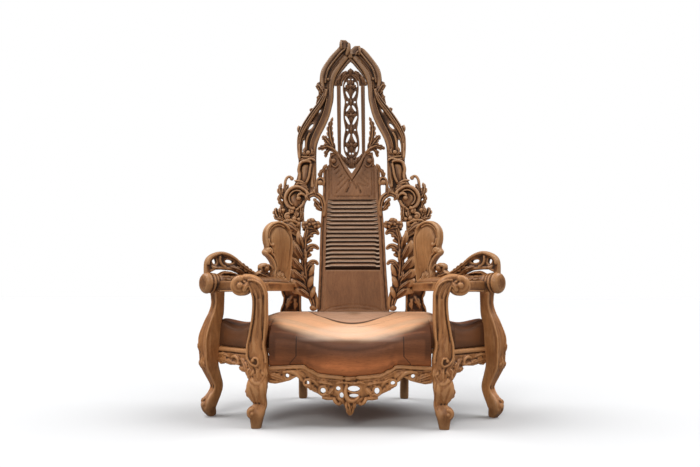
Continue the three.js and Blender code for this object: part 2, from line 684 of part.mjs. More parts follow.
function leafSpray() {
  return onBack(joined(
    strand([[86, -8, 1396, 10, 8], [102, -10, 1410, 12, 9], [128, -8, 1414, 9, 7]], { steps: 4 }),
    leaf([[98, -6, 1408], [118, -12, 1480], [124, -12, 1540], [106, -8, 1608]], 17, 8, 4),
    leaf([[100, -8, 1412], [130, -16, 1446], [168, -12, 1492]], 15, 8, 3),
    leaf([[96, -8, 1406], [140, -16, 1422], [196, -12, 1412]], 18, 9, 3),
    leaf([[128, -8, 1412], [146, -12, 1392], [154, -8, 1360]], 12, 7, 2),
  ));
}

// ---- Foliage between the splat and the posts ----------------------------------------

// A plume of acanthus on a winding stem, with hooked leaves that reach the splat and a
// berried bracket on top.
function plume(neighbours) {
  const y = -40;
  const leaves = [
    [[276, y, 845], [288, y - 6, 888], [303, y, 926]],
    [[277, y, 790], [302, y - 8, 836], [330, y - 2, 872]],
    [[280, y, 706], [322, y - 10, 742], [355, y - 2, 776]],
    [[274, y, 650], [318, y - 10, 686], [354, y - 2, 708]],
    [[262, y, 606], [306, y - 10, 634], [338, y - 2, 655]],
    [[240, y, 572], [290, y - 8, 602], [330, y - 2, 586]],
  ].map((points) => leaf(points, 19, 11, 2));
  const hooks = [
    [[268, y, 862, 11, 10], [252, y, 896, 12, 10], [232, y, 922, 12, 9], [204, y + 6, 928, 10, 9], [188, y + 14, 908, 8, 8]],
    [[274, y, 780, 11, 10], [254, y, 816, 12, 10], [234, y, 842, 12, 9], [208, y + 6, 844, 10, 9], [190, y + 14, 824, 8, 8]],
    [[262, y, 700, 10, 10], [246, y, 734, 11, 10], [230, y, 757, 10, 9], [208, y + 6, 757, 9, 9], [192, y + 14, 738, 8, 8]],
  ].map((rows) => strand(rows, { steps: 3 }));
  const berries = [
    [252, 962, 24], [224, 976, 25], [196, 966, 22],
  ].map(([x, z, radius]) => bead([x, -26, z], radius));
  return fitted(onBack(joined(
    strand([
      [216, y, 512, 10, 11], [226, y, 546, 12, 12], [245, y, 590, 13, 13], [263, y, 640, 14, 13],
      [273, y, 700, 14, 13], [278, y, 760, 14, 13], [276, y, 820, 13, 12], [270, y, 880, 12, 12],
      [254, y + 8, 945, 12, 11],
    ], { steps: 7, sides: 4 }),
    strand([
      [232, y, 738, 8, 8], [219, y, 700, 10, 9], [229, y, 655, 14, 11], [224, y, 612, 12, 10],
      [205, y, 572, 11, 9], [197, y, 530, 9, 9], [204, y, 502, 9, 9], [228, y, 500, 9, 9], [234, y, 516, 8, 8],
    ], { steps: 8 }),
    strand([[258, y, 680, 8, 8], [240, y, 690, 9, 9], [222, y, 690, 8, 8]], { steps: 2 }),
    ...leaves,
    ...hooks,
    ...berries,
  )), ...neighbours);
}

// The leaf and the small scroll that bridge the splat and the arch rail.
function bridgeLeaf(neighbours) {
  const y = -22;
  return fitted(onBack(joined(
    strand([
      [250, y, 1112, 9, 9], [240, y, 1134, 11, 9], [212, y, 1143, 12, 9], [178, y, 1124, 13, 9],
      [160, y, 1092, 12, 9], [154, y, 1052, 11, 9], [158, y, 1014, 8, 8],
    ], { steps: 8 }),
    leaf([[166, y, 1048], [196, y - 4, 1070], [214, y, 1096]], 12, 8),
    strand([
      [196, y, 1132, 8, 8], [200, y, 1165, 8, 8], [199, y, 1205, 8, 8], [190, y, 1232, 8, 8],
      [170, y, 1236, 8, 8], [158, y, 1216, 7, 8], [162, y, 1186, 7, 8],
    ], { steps: 8 }),
    bead([178, y, 1204], 12),
    leaf([[168, y, 1232], [180, y - 4, 1252], [160, y, 1290]], 11, 8, 4),
  )), ...neighbours);
}

// ---- The throne ---------------------------------------------------------------------

const honeyTeak = () => new THREE.MeshStandardMaterial({ color: 0x9a6238, roughness: 0.5, metalness: 0 });
const shadedTeak = () => new THREE.MeshStandardMaterial({ color: 0x7c4f2d, roughness: 0.55, metalness: 0 });
const seatTeak = () => new THREE.MeshStandardMaterial({ color: 0xa4663c, roughness: 0.42, metalness: 0 });

const throne = new THREE.Group();
throne.name = 'throne';

function place(name, geometry, material) {
  const plain = geometry.index ? geometry.toNonIndexed() : geometry;
  plain.computeVertexNormals();
  const mesh = new THREE.Mesh(plain, material());
  mesh.name = name;
  throne.add(mesh);
}

function placePair(name, right, material, left = mirrored(right)) {
  place(`left_${name}`, left, material);
  place(`right_${name}`, right, material);
}

const legGeometry = frontLeg();
const postGeometry = rearPost();
const armGeometry = arm(legGeometry, postGeometry);
const outerGeometry = outerLeg(armGeometry);
const crestGeometry = armCrest(armGeometry);
const wingGeometry = backWing(armGeometry, postGeometry, crestGeometry);
const [railRight, railLeft] = [RIGHT_TIP, LEFT_TIP].map((tip) => fitted(archRail(tip), postGeometry, wingGeometry));
const stileGeometry = splatStile();
const headGeometry = fitted(lancetHead(), railRight, mirrored(railRight));
const stripGeometry = fitted(medallionStrip(), headGeometry, topPanel(), lancetBar(), mirrored(lancetBar()));
const sideNeighbours = [postGeometry, wingGeometry, stileGeometry, railRight, armGeometry];

const supports = [legGeometry, outerGeometry, postGeometry];
const seatGeometry = fitted(seatBlock(), ...supports, ...supports.map(mirrored));
place('seat', seatGeometry, seatTeak);
place('front_apron', fitted(frontApron(), seatGeometry, legGeometry, mirrored(legGeometry)), honeyTeak);
placePair('wing_apron', fitted(wingApron(), legGeometry, outerGeometry), honeyTeak);
const railEnds = [[672, 262], [330, 630]];
placePair('side_rail', fitted(plainRail(railEnds[1], railEnds[0], 252), outerGeometry, postGeometry), honeyTeak);
place('rear_rail', fitted(plainRail([-290, 652], [290, 652], 252), postGeometry, mirrored(postGeometry)), honeyTeak);

placePair('front_leg', legGeometry, honeyTeak);
placePair('outer_leg', outerGeometry, honeyTeak);
placePair('rear_post', postGeometry, shadedTeak);
placePair('arm', armGeometry, honeyTeak);
placePair('arm_crest', crestGeometry, shadedTeak);
placePair('back_wing', wingGeometry, honeyTeak);

placePair(
  'arch_rail',
  fitted(drifted(railRight), postGeometry),
  shadedTeak,
  fitted(drifted(mirrored(railLeft)), mirrored(postGeometry)),
);
placePair('splat_stile', drifted(stileGeometry), shadedTeak, drifted(mirrored(stileGeometry)));
place('splat_lower_panel', drifted(lowerPanel()), shadedTeak);
place('splat_reeds', drifted(reededPanel()), shadedTeak);
place('splat_top_panel', drifted(topPanel()), shadedTeak);
const bar = fitted(lancetBar(), headGeometry, topPanel());
placePair('lancet_bar', drifted(bar), shadedTeak, drifted(mirrored(bar)));
place('lancet_head', drifted(headGeometry), shadedTeak);
place('medallion_strip', drifted(stripGeometry), shadedTeak);
const spray = fitted(leafSpray(), topPanel(), railRight, bar);
placePair('leaf_spray', drifted(spray), shadedTeak, drifted(mirrored(spray)));
const plumeGeometry = plume(sideNeighbours);
placePair(
  'plume',
  fitted(drifted(plumeGeometry), armGeometry),
  shadedTeak,
  fitted(drifted(mirrored(plumeGeometry)), mirrored(armGeometry)),
);
const bridge = bridgeLeaf([stileGeometry, railRight, plumeGeometry, topPanel()]);
placePair('bridge_leaf', drifted(bridge), shadedTeak, drifted(mirrored(bridge)));

// The origin is at the middle of the bounding box in plan, on the floor.
const box = new THREE.Box3().setFromObject(throne);
const middle = box.getCenter(new THREE.Vector3());
throne.position.set(-middle.x, -middle.y, -box.min.z);

export default throne;
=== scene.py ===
# %% [markdown]
# # A carved wooden throne
# This lesson gives a imported frame of plain solids its carved surface, its wood and its light.
# The frame says where each piece stands and how big it is, so nothing here is fitted by eye:
# heights, depths and the middle planes come from the boxes of the frame's own nodes.

# %% Load the frame
import math

import bpy
import numpy as np
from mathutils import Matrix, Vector
from mathutils.geometry import tessellate_polygon


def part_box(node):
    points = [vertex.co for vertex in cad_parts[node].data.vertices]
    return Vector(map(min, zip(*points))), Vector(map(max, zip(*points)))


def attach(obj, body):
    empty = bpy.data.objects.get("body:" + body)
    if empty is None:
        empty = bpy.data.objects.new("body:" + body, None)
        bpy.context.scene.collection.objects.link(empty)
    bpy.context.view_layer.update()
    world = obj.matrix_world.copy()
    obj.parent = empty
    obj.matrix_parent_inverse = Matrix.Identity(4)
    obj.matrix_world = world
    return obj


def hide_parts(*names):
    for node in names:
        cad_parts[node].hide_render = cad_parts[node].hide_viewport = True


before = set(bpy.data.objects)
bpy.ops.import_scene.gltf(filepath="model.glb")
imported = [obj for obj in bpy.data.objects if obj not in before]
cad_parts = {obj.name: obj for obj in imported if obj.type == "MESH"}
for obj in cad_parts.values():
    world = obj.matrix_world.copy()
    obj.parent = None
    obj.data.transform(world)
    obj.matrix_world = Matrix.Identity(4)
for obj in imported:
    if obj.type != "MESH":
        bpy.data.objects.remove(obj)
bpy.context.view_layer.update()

# %% [markdown]
# ## The carver's drawing
# A carver works from drawings in millimetres, so the pieces below are drawn that way too. X runs to the
# right, Z is the height above the floor, and Y = 0 is the plane through the middle of the front legs.
# Side pieces are drawn for the right-hand side and mirrored. One function turns a drawing into metres in
# the frame. The back leans away as it rises, and a little to the left, because it was made by hand.

# %% From drawing to frame
MM = 0.001
LEG_HALF_DEPTH = 45
LEG_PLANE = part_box("right_front_leg")[1].y / MM - LEG_HALF_DEPTH
SEAT_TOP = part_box("seat")[1].z / MM
SEAT_BOTTOM = 334
BACK_FACE = 640
BACK_RAKE = 0.08
BACK_DRIFT = -0.0125
ARM_KNOB = (715, 190)
FRONT = np.array([0.0, -1.0, 0.0])
OUTWARD = np.array([0.69, -0.72, 0.0])


def in_metres(points):
    return (points + [0, LEG_PLANE, 0]) * MM


def on_back(points):
    """Stands a flat drawing on the raked face of the back."""
    placed = points.copy()
    placed[:, 1] += BACK_FACE + BACK_RAKE * (points[:, 2] - SEAT_TOP)
    return placed


def leaned(points):
    """Lets the upper part drift to the left as it rises."""
    placed = points.copy()
    placed[:, 0] += BACK_DRIFT * np.maximum(0, points[:, 2] - SEAT_TOP)
    return placed


def upright(points):
    """Stands a flat drawing on the back, and lets it drift as the back does."""
    return leaned(on_back(points))


def on_arm(points):
    """Turns a drawing with x = 0 at the knob and negative x towards the back onto the diagonal arm."""
    turn = math.sqrt(0.5)
    x, y, z = points.T
    return np.stack([ARM_KNOB[0] + turn * (x + y), ARM_KNOB[1] + turn * (y - x), z], axis=1)


print("front legs' plane at", round(LEG_PLANE, 1), "mm, seat top at", round(SEAT_TOP, 1), "mm")

# %% [markdown]
# ## Closed skins
# Carving is a pile of shapes that run into each other: mouldings, leaves, scrolls and beads on a board.
# Each could be modelled by hand with sculpting brushes, but then a size could not be changed later.
# Here every shape is a small closed skin worked out by a formula, so a whole ornament is a short list of
# named shapes. A skin is a pair: its points, and the triangles that join them.

# %% Skins from rings, lines and outlines
def flowing(rows, steps):
    """A smooth line through rows of numbers; every column flows, so sizes can change along it."""
    rows = np.asarray(rows, float)
    padded = np.vstack([2 * rows[0] - rows[1], rows, 2 * rows[-1] - rows[-2]])
    t = np.linspace(0, len(rows) - 1, steps + 1)
    i = np.minimum(t.astype(int), len(rows) - 2)
    f = (t - i)[:, None]
    a, b, c, d = (padded[i + k] for k in range(4))
    return 0.5 * (2 * b + (c - a) * f + (2 * a - 5 * b + 4 * c - d) * f**2 + (3 * b - a - 3 * c + d) * f**3)


def unit(vectors):
    return vectors / np.maximum(np.linalg.norm(vectors, axis=-1, keepdims=True), 1e-9)


def loft(rings):
    """Joins equal rings into one closed skin."""
    rings = np.asarray(rings, float)
    steps, corners = rings.shape[:2]
    points = np.vstack([rings.reshape(-1, 3), rings[0].mean(0), rings[-1].mean(0)])
    here = np.arange(corners)
    after = (here + 1) % corners
    row = np.arange(steps - 1)[:, None] * corners
    a, b = row + here, row + after
    sides = np.stack([a, b, b + corners, a, b + corners, a + corners], -1).reshape(-1, 3)
    last = (steps - 1) * corners
    first_cap = np.stack([np.full(corners, steps * corners), after, here], -1)
    last_cap = np.stack([np.full(corners, steps * corners + 1), last + here, last + after], -1)
    return points, np.vstack([sides, first_cap, last_cap])


def section(reeds=0, cut=0.0, fullness=2.0, samples=9):
    """The outline across a moulding: full round at 2, squarer above, with reeds cut along its face."""
    across = np.cos(np.linspace(0, math.pi, max(samples, 6 * reeds + 1)))
    rise = np.maximum(0, 1 - np.abs(across) ** fullness) ** (1 / fullness)
    groove = cut * (1 - np.abs(np.sin(math.pi * reeds * (across + 1) / 2))) ** 2 if reeds else 0
    face = np.stack([across, rise * (1 - groove)], 1)
    back = np.stack([-across, -rise], 1)[1:-1]
    return np.vstack([face, back])


ROUND = section()
SQUARISH = section(fullness=3.4, samples=13)
BLUNT_END = 0.25
THINNEST = 0.3


def strand(rows, shape=ROUND, steps=None, front=FRONT, rounded=True):
    """A moulding through rows of x, y, z, half width and half depth."""
    path = flowing(rows, steps or 5 * len(rows))
    centre, width, depth = path[:, :3], path[:, 3], path[:, 4]
    along = unit(np.gradient(centre, axis=0))
    across = unit(np.cross(along, front))
    facing = np.cross(across, along)
    if rounded:
        travelled = np.concatenate([[0], np.cumsum(np.linalg.norm(np.diff(centre, axis=0), axis=1))])
        to_end = np.minimum(travelled, travelled[-1] - travelled)
        share = np.clip(to_end / np.maximum(width, 1), 0, 1)
        taper = np.maximum(np.sqrt(1 - (1 - share) ** 2), BLUNT_END)
        width, depth = width * taper, depth * taper
    u, v = shape.T
    rings = (centre[:, None] + across[:, None] * (width[:, None] * u)[..., None]
             + facing[:, None] * (depth[:, None] * v)[..., None])
    return [loft(rings)]


def board(outline, front_y, back_y, holes=()):
    """A flat board cut to an outline of x, z points, with holes through it."""
    loops = [list(outline), *map(list, holes)]
    flat = np.array([p for loop in loops for p in loop], float)
    count = len(flat)
    lid = np.array(tessellate_polygon([[Vector((x, z, 0)) for x, z in loop] for loop in loops]))
    points = np.vstack([
        np.column_stack([flat[:, 0], np.full(count, front_y), flat[:, 1]]),
        np.column_stack([flat[:, 0], np.full(count, back_y), flat[:, 1]])
    ])
    walls, start = [], 0
    for loop in loops:
        here = start + np.arange(len(loop))
        after = start + (np.arange(len(loop)) + 1) % len(loop)
        walls.append(np.stack([
            here, after, after + count, here, after + count, here + count
        ], -1).reshape(-1, 3))
        start += len(loop)
    return [(points, np.vstack([lid, lid[:, ::-1] + count, *walls]))]


def oval(x, z, half_width, half_height, turn=0.0, count=20):
    """The points of a tilted oval, for a hole or a ring."""
    angle = np.linspace(0, 2 * math.pi, count, endpoint=False)
    a, b = half_width * np.cos(angle), half_height * np.sin(angle)
    return np.stack([
        x + a * math.cos(turn) - b * math.sin(turn), z + a * math.sin(turn) + b * math.cos(turn)
    ], 1)


def lathe(profile, centre, axis, count=40):
    """A turned shape: rows of radius and distance along an axis."""
    axis = unit(np.array(axis, float))
    side = unit(np.cross(axis, [0, 0, 1] if abs(axis[2]) < 0.9 else [1, 0, 0]))
    other = np.cross(axis, side)
    angle = np.linspace(0, 2 * math.pi, count, endpoint=False)
    circle = np.cos(angle)[:, None] * side + np.sin(angle)[:, None] * other
    return [loft([
        np.array(centre) + axis * along + max(radius, THINNEST) * circle for radius, along in profile
    ])]


def bead(x, y, z, radius):
    """A round bead or berry."""
    pole, rings, corners = 0.06, 8, 14
    turns = np.linspace(pole, math.pi - pole, rings)
    return lathe([
        (radius * math.sin(a), -radius * math.cos(a)) for a in turns
    ], (x, y, z), (0, 1, 0), corners)


# %% [markdown]
# ## Leaves and scrolls
# The throne's ornament is acanthus: a leaf with a midrib, lobes that point to its tip and a vein in each
# lobe. Sculptors often keep such a leaf as a ready brush. A formula does as well: the width swells and is cut
# in between the lobes, the lobes sweep forward, and the section has a rib in the middle and two hollows.
# A scroll is a moulding wound along a spiral, thinner towards its eye, which is a bead.

# %% Leaf, scroll and hook
LOBE_CUT = 0.45
RIB_WIDTH, HOLLOW_AT, HOLLOW_WIDTH = 0.15, 0.42, 0.17
CROWN, RIB_RISE, HOLLOW_DEPTH, BELLY = 0.62, 0.5, 0.34, 0.5


def leaf(points, width, depth=10, lobes=4, front=FRONT, sweep=0.5):
    """An acanthus leaf along a line of x, y, z points, from its root to its tip."""
    steps = max(14, 8 * lobes)
    centre = flowing(points, steps)
    t = np.linspace(0, 1, steps + 1)
    along = unit(np.gradient(centre, axis=0))
    across = unit(np.cross(along, front))
    facing = np.cross(across, along)
    swell = np.sin(math.pi * np.clip(0.13 + 0.85 * t, 0, 1)) ** 0.8
    lobe = 1 - LOBE_CUT * (1 - np.sin(math.pi * ((t * lobes) % 1))) ** 2 if lobes > 1 else np.ones_like(t)
    half = np.maximum(width * swell * lobe, 1.5)
    u = np.linspace(-1, 1, 15)
    hump = np.sqrt(np.maximum(0, 1 - u**2))
    rib = np.exp(-((u / RIB_WIDTH) ** 2))
    hollow = np.exp(-(((np.abs(u) - HOLLOW_AT) / HOLLOW_WIDTH) ** 2))
    top = CROWN * hump + RIB_RISE * rib - HOLLOW_DEPTH * hollow
    outline = np.concatenate([np.stack([u, top], 1), np.stack([-u[1:-1], -BELLY * hump[1:-1]], 1)])
    thick = np.maximum(depth * swell ** 0.6, 2)
    forward = sweep * half[:, None] * np.abs(outline[:, 0]) ** 2
    rings = (
        centre[:, None] + across[:, None] * (half[:, None] * outline[:, 0])[..., None]
        + facing[:, None] * (thick[:, None] * outline[:, 1])[..., None] + along[:, None] * forward[..., None]
    )
    return [loft(rings)]


def leaves(*rows, **kind):
    """Several leaves, each as its line of points, its width, its depth and its number of lobes."""
    return [skin for points, *size in rows for skin in leaf(points, *size, **kind)]


WINDS_IN, THINS, FLATTENS = 0.72, 0.4, 0.2


def scroll(x, y, z, radius, turns=1.3, thick=0.24, depth=8, start=0.0, hand=1, eye=0.26):
    """A spiral moulding in an upright plane, with a bead for its eye."""
    t = np.linspace(0, 1, int(20 * turns) + 2)
    angle = start + hand * 2 * math.pi * turns * t
    reach = radius * (1 - thick) * (1 - WINDS_IN * t)
    size = radius * thick * (1 - THINS * t)
    rows = np.stack([x + reach * np.cos(angle), np.full_like(t, y), z + reach * np.sin(angle), size,
                     depth * (1 - FLATTENS * t)], 1)
    return strand(rows, steps=len(t) * 2) + bead(x, y - 0.3 * depth, z, radius * eye)


def hook(rows, steps=None, tip=1.6):
    """A strand that ends in a round knob, as a curled shoot does."""
    x, y, z, width, depth = rows[-1]
    return strand(rows, steps=steps) + bead(x, y, z, max(width, depth) * tip)


def moved(skins, place):
    return [(place(points), faces) for points, faces in skins]


def other_side(skins):
    return [(points * [-1, 1, 1], faces[:, ::-1]) for points, faces in skins]


print("a leaf has", len(leaf([(0, 0, 0), (0, 0, 50), (0, 0, 90)], 20)[0][1]), "triangles")

# %% [markdown]
# ## From a pile of skins to one carved surface
# Skins that only run into each other would show sharp creases where they meet, and hidden faces inside.
# A real carving is one piece of wood. So each pile goes through Blender's voxel remesh, which keeps only the
# outer surface and gives it an even mesh, and then a few rounds of smoothing that do not shrink it, as
# sandpaper would round it. A collapse decimate then thins the mesh where the wood is flat.
# The same step measures, for every point, how hollow or how proud it stands among its neighbours. The
# finishes read that later: dirt gathers in hollows and what stands out is polished by hands, and the same
# measure also paints shade into the hollows and highlights onto what stands out.

# %% Fusing, smoothing and measuring hollows
PULL_IN, PUSH_OUT = 0.55, -0.57
SPREAD_ROUNDS = 9


def mesh_of(name, points, faces):
    """A mesh from points and triangles, without going through slow Python lists."""
    mesh = bpy.data.meshes.new(name)
    mesh.vertices.add(len(points))
    mesh.vertices.foreach_set("co", np.asarray(points, np.float32).ravel())
    mesh.loops.add(faces.size)
    mesh.loops.foreach_set("vertex_index", np.asarray(faces, np.int32).ravel())
    mesh.polygons.add(len(faces))
    mesh.polygons.foreach_set("loop_start", np.arange(0, faces.size, 3, dtype=np.int32))
    mesh.update(calc_edges=True)
    return mesh


def arrays_of(mesh):
    points = np.empty(len(mesh.vertices) * 3, np.float32)
    mesh.vertices.foreach_get("co", points)
    mesh.calc_loop_triangles()
    faces = np.empty(len(mesh.loop_triangles) * 3, np.int32)
    mesh.loop_triangles.foreach_get("vertices", faces)
    return points.reshape(-1, 3).astype(float), faces.reshape(-1, 3)


def changed(points, faces, kind, **settings):
    """The same surface after one of Blender's modifiers."""
    mesh = mesh_of("blank", points * MM, faces)
    blank = bpy.data.objects.new("blank", mesh)
    bpy.context.scene.collection.objects.link(blank)
    modifier = blank.modifiers.new("change", kind)
    for key, value in settings.items():
        setattr(modifier, key, value)
    made = blank.evaluated_get(bpy.context.evaluated_depsgraph_get()).to_mesh()
    result_points, result_faces = arrays_of(made)
    bpy.data.objects.remove(blank)
    bpy.data.meshes.remove(mesh)
    return result_points / MM, result_faces


def neighbour_mean(faces, count):
    """A function that gives each point the mean of its neighbours' values."""
    pairs = np.vstack([faces[:, [0, 1]], faces[:, [1, 2]], faces[:, [2, 0]]])
    a = np.concatenate([pairs[:, 0], pairs[:, 1]])
    b = np.concatenate([pairs[:, 1], pairs[:, 0]])
    degree = np.maximum(np.bincount(a, minlength=count), 1)[:, None]

    def mean(values):
        sums = [np.bincount(a, weights=values[b, k], minlength=count) for k in range(values.shape[1])]
        return np.stack(sums, 1) / degree

    return mean


def sanded(points, faces, rounds):
    """Smoothing in pairs of steps, one in and one out, so that the piece keeps its size."""
    mean = neighbour_mean(faces, len(points))
    for _ in range(rounds):
        for pull in (PULL_IN, PUSH_OUT):
            points = points + pull * (mean(points) - points)
    return points


def fused(skins, voxel=3.0, rounds=3, keep=0.6, cut=None):
    """One carved surface from a pile of closed skins."""
    starts = np.cumsum([0] + [len(points) for points, _ in skins])
    points = np.vstack([points for points, _ in skins])
    faces = np.vstack([faces + start for (_, faces), start in zip(skins, starts)])
    points, faces = changed(points, faces, "REMESH", mode="VOXEL", voxel_size=voxel * MM)
    points = sanded(points, faces, rounds)
    if cut:
        points = cut(points)
    if keep < 1:
        points, faces = changed(points, faces, "DECIMATE", ratio=keep)
    return points, faces


def hollows(points, faces):
    """How far each point lies below its neighbourhood, in millimetres; negative where it stands proud."""
    corners = points[faces]
    normals = np.cross(corners[:, 1] - corners[:, 0], corners[:, 2] - corners[:, 0])
    summed = np.stack([np.bincount(
        faces.ravel(), weights=np.repeat(normals[:, k], 3), minlength=len(points)
    ) for k in range(3)], 1)
    mean = neighbour_mean(faces, len(points))
    spread = points
    for _ in range(SPREAD_ROUNDS):
        spread = mean(spread)
    depth = ((spread - points) * unit(summed)).sum(1, keepdims=True)
    return mean(depth)[:, 0]


totals = {}


def piece(name, surface, replaces, material, mirror=False, place=None):
    """Turns a carved surface into a named object that rides on the frame in place of its solids."""
    points, faces = surface
    depth = hollows(points, faces)
    if mirror:
        points, faces = points * [-1, 1, 1], faces[:, ::-1]
    if place:
        points = place(points)
    mesh = mesh_of(name, in_metres(points), faces)
    mesh.attributes.new("hollow", "FLOAT", "POINT").data.foreach_set("value", depth.astype(np.float32))
    mesh.polygons.foreach_set("use_smooth", np.ones(len(faces), bool))
    mesh.materials.append(material)
    made = bpy.data.objects.new(name, mesh)
    bpy.context.scene.collection.objects.link(made)
    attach(made, "root")
    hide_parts(*replaces)
    totals[name] = len(faces)
    return made


def pair(name, surface, material, place=None, left=None):
    """The same carving on both sides, unless the left one is its own."""
    piece(f"right_{name}_carved", surface, [f"right_{name}"], material, place=place)
    piece(f"left_{name}_carved", left or surface, [f"left_{name}"], material, mirror=True, place=place)

# %% [markdown]
# ## The wood
# The throne is old teak with a satin oil finish. What makes it look like wood is that three things change
# over it at once: long streaks along the grain, short dark pores, and broad patches where boards differ.
# A picture of wood could be wrapped round each piece, but it would smear on the carving. Noise in three
# dimensions runs right through the piece instead, as grain does in a block that has been carved.
# All finishes need the same grain, so it is a node group: a small graph with named inputs and outputs.

# %% A short way to add nodes
def add(tree, kind, inputs=(), **settings):
    """Adds a node; each input is a number, a colour or another node's output."""
    made = tree.nodes.new(kind)
    for key, value in settings.items():
        setattr(made, key, value)
    for key, value in dict(inputs).items():
        if isinstance(value, bpy.types.NodeSocket):
            tree.links.new(value, made.inputs[key])
        else:
            made.inputs[key].default_value = value
    return made


def maths(tree, operation, *values):
    return add(tree, "ShaderNodeMath", dict(enumerate(values)), operation=operation).outputs[0]


def ranged(tree, value, low, high, to_low=0.0, to_high=1.0, smooth=False):
    """Spreads a value from one range over another, and keeps it inside."""
    kind = "SMOOTHSTEP" if smooth else "LINEAR"
    numbers = {"Value": value, "From Min": low, "From Max": high, "To Min": to_low, "To Max": to_high}
    return add(tree, "ShaderNodeMapRange", numbers, interpolation_type=kind).outputs[0]


def blended(tree, share, first, second):
    return add(tree, "ShaderNodeMix", {0: share, 6: first, 7: second}, data_type="RGBA").outputs[2]


def new_group(name, inputs, outputs):
    """A node group with (name, socket type, value) inputs and (name, socket type) outputs."""
    group = bpy.data.node_groups.new(name, "ShaderNodeTree")
    for title, kind, value in inputs:
        group.interface.new_socket(title, in_out="INPUT", socket_type=kind).default_value = value
    for title, kind in outputs:
        group.interface.new_socket(title, in_out="OUTPUT", socket_type=kind)
    return group, group.nodes.new("NodeGroupInput").outputs, group.nodes.new("NodeGroupOutput").inputs


def placed(tree, group, **inputs):
    """Puts a group into a material, with its own values."""
    used = add(tree, "ShaderNodeGroup", node_tree=group)
    for key, value in inputs.items():
        used.inputs[key.replace("_", " ")].default_value = value
    return used.outputs


# %% [markdown]
# The grain group turns the piece's own coordinates so that the fibres run along local Z, and squeezes them
# along that axis, which stretches the noise into streaks. A slow second noise bends the streaks, as growth
# rings bend. Pores are the same trick at a finer scale, kept only where the noise is darkest.

# %% Grain
FLOAT, VECTOR = "NodeSocketFloat", "NodeSocketVector"
grain, given, gives = new_group(
    "teak grain", [("Turn", VECTOR, (0, 0, 0)), ("Streaks per metre", FLOAT, 90.0), ("Stretch", FLOAT, 14.0)],
    [("Figure", FLOAT), ("Pores", FLOAT), ("Patches", FLOAT), ("Fibre", FLOAT)]
)
own = grain.nodes.new("ShaderNodeTexCoord").outputs["Object"]
turned = add(
    grain, "ShaderNodeVectorRotate", {"Vector": own, "Rotation": given["Turn"]}, rotation_type="EULER_XYZ",
    invert=True
).outputs[0]
bend = add(grain, "ShaderNodeTexNoise", {"Vector": turned, "Scale": 3.2, "Detail": 2.0})
wander = add(
    grain, "ShaderNodeVectorMath", {0: bend.outputs["Color"], "Scale": 0.09}, operation="SCALE"
).outputs[0]
bent = add(grain, "ShaderNodeVectorMath", {0: turned, 1: wander}, operation="ADD").outputs[0]
along = maths(grain, "DIVIDE", 1.0, given["Stretch"])
squeeze = add(grain, "ShaderNodeCombineXYZ", {"X": 1.0, "Y": 1.0, "Z": along}).outputs[0]
fibres = add(grain, "ShaderNodeVectorMath", {0: bent, 1: squeeze}, operation="MULTIPLY").outputs[0]
streaks = add(grain, "ShaderNodeTexNoise", {
    "Vector": fibres, "Scale": given["Streaks per metre"], "Detail": 5.0, "Roughness": 0.62, "Distortion": 0.3
}).outputs["Fac"]
rings = add(grain, "ShaderNodeTexNoise", {"Vector": fibres, "Scale": 17.0, "Detail": 2.0}).outputs["Fac"]
figure = maths(grain, "ADD", maths(grain, "MULTIPLY", streaks, 0.55), maths(grain, "MULTIPLY", rings, 0.45))
grain.links.new(ranged(grain, figure, 0.36, 0.64), gives["Figure"])
fine = add(grain, "ShaderNodeTexNoise", {"Vector": fibres, "Scale": 620.0, "Detail": 2.0}).outputs["Fac"]
grain.links.new(ranged(grain, fine, 0.60, 0.72), gives["Pores"])
grain.links.new(streaks, gives["Fibre"])
broad = add(grain, "ShaderNodeTexNoise", {"Vector": turned, "Scale": 4.5, "Detail": 3.0}).outputs["Fac"]
grain.links.new(ranged(grain, broad, 0.34, 0.66), gives["Patches"])
print("teak grain has", len(grain.nodes), "nodes")

# %% [markdown]
# Age shows by shape. Dust and old oil stay in the hollows, and hands wear the proud parts smooth and pale.
# The same masks also paint light: the dark in the hollows is partly painted shade, and the pale on the proud
# parts is partly a painted highlight. Cycles could work the shade out with an ambient occlusion node, but
# that is slow and noisy. The carving step has already measured how hollow each point is, so this group only
# reads that and breaks it up a little.

# %% Age and painted light
# Dirt stands for dirt and painted shade in the hollows, and Wear for wear and painted highlights on proud
# parts
age_and_light, given, gives = new_group("age by shape", [
    ("Dirt from", FLOAT, 0.15), ("Dirt to", FLOAT, 1.6), ("Wear from", FLOAT, 0.2), ("Wear to", FLOAT, 1.3)
], [("Dirt", FLOAT), ("Wear", FLOAT)])
depth = add(age_and_light, "ShaderNodeAttribute", attribute_name="hollow").outputs["Fac"]
own = age_and_light.nodes.new("ShaderNodeTexCoord").outputs["Object"]
speckle = add(age_and_light, "ShaderNodeTexNoise", {"Vector": own, "Scale": 55.0, "Detail": 4.0}).outputs["Fac"]
ragged = maths(age_and_light, "MULTIPLY_ADD", speckle, 0.5, maths(age_and_light, "SUBTRACT", depth, 0.25))
for title, value in (("Dirt", ragged), ("Wear", maths(age_and_light, "MULTIPLY", ragged, -1.0))):
    found = add(age_and_light, "ShaderNodeMapRange", {
        "Value": value, "From Min": given[f"{title} from"], "From Max": given[f"{title} to"]
    }, interpolation_type="SMOOTHSTEP")
    age_and_light.links.new(found.outputs[0], gives[title])
print("age by shape has", len(age_and_light.nodes), "nodes")

# %% [markdown]
# A finish is now a short recipe: pale and dark wood mixed by the figure, patches between boards, dirt and
# painted shade in the hollows, and wear and painted highlights on the edges. The shader stays in the material
# itself. Roughness falls where hands have polished the wood, and the bump is mostly fibre and pores, with
# broad tool marks under them.

# %% A teak finish
# the dark colour of the pores, and of dirt and painted shade in the hollows
DIRT_AND_SHADE = (0.030, 0.012, 0.005)
PATCH_TONES = (0.80, 1.14)
PORE_SHARE = 0.5
SHEEN_AT_EDGE = 0.3


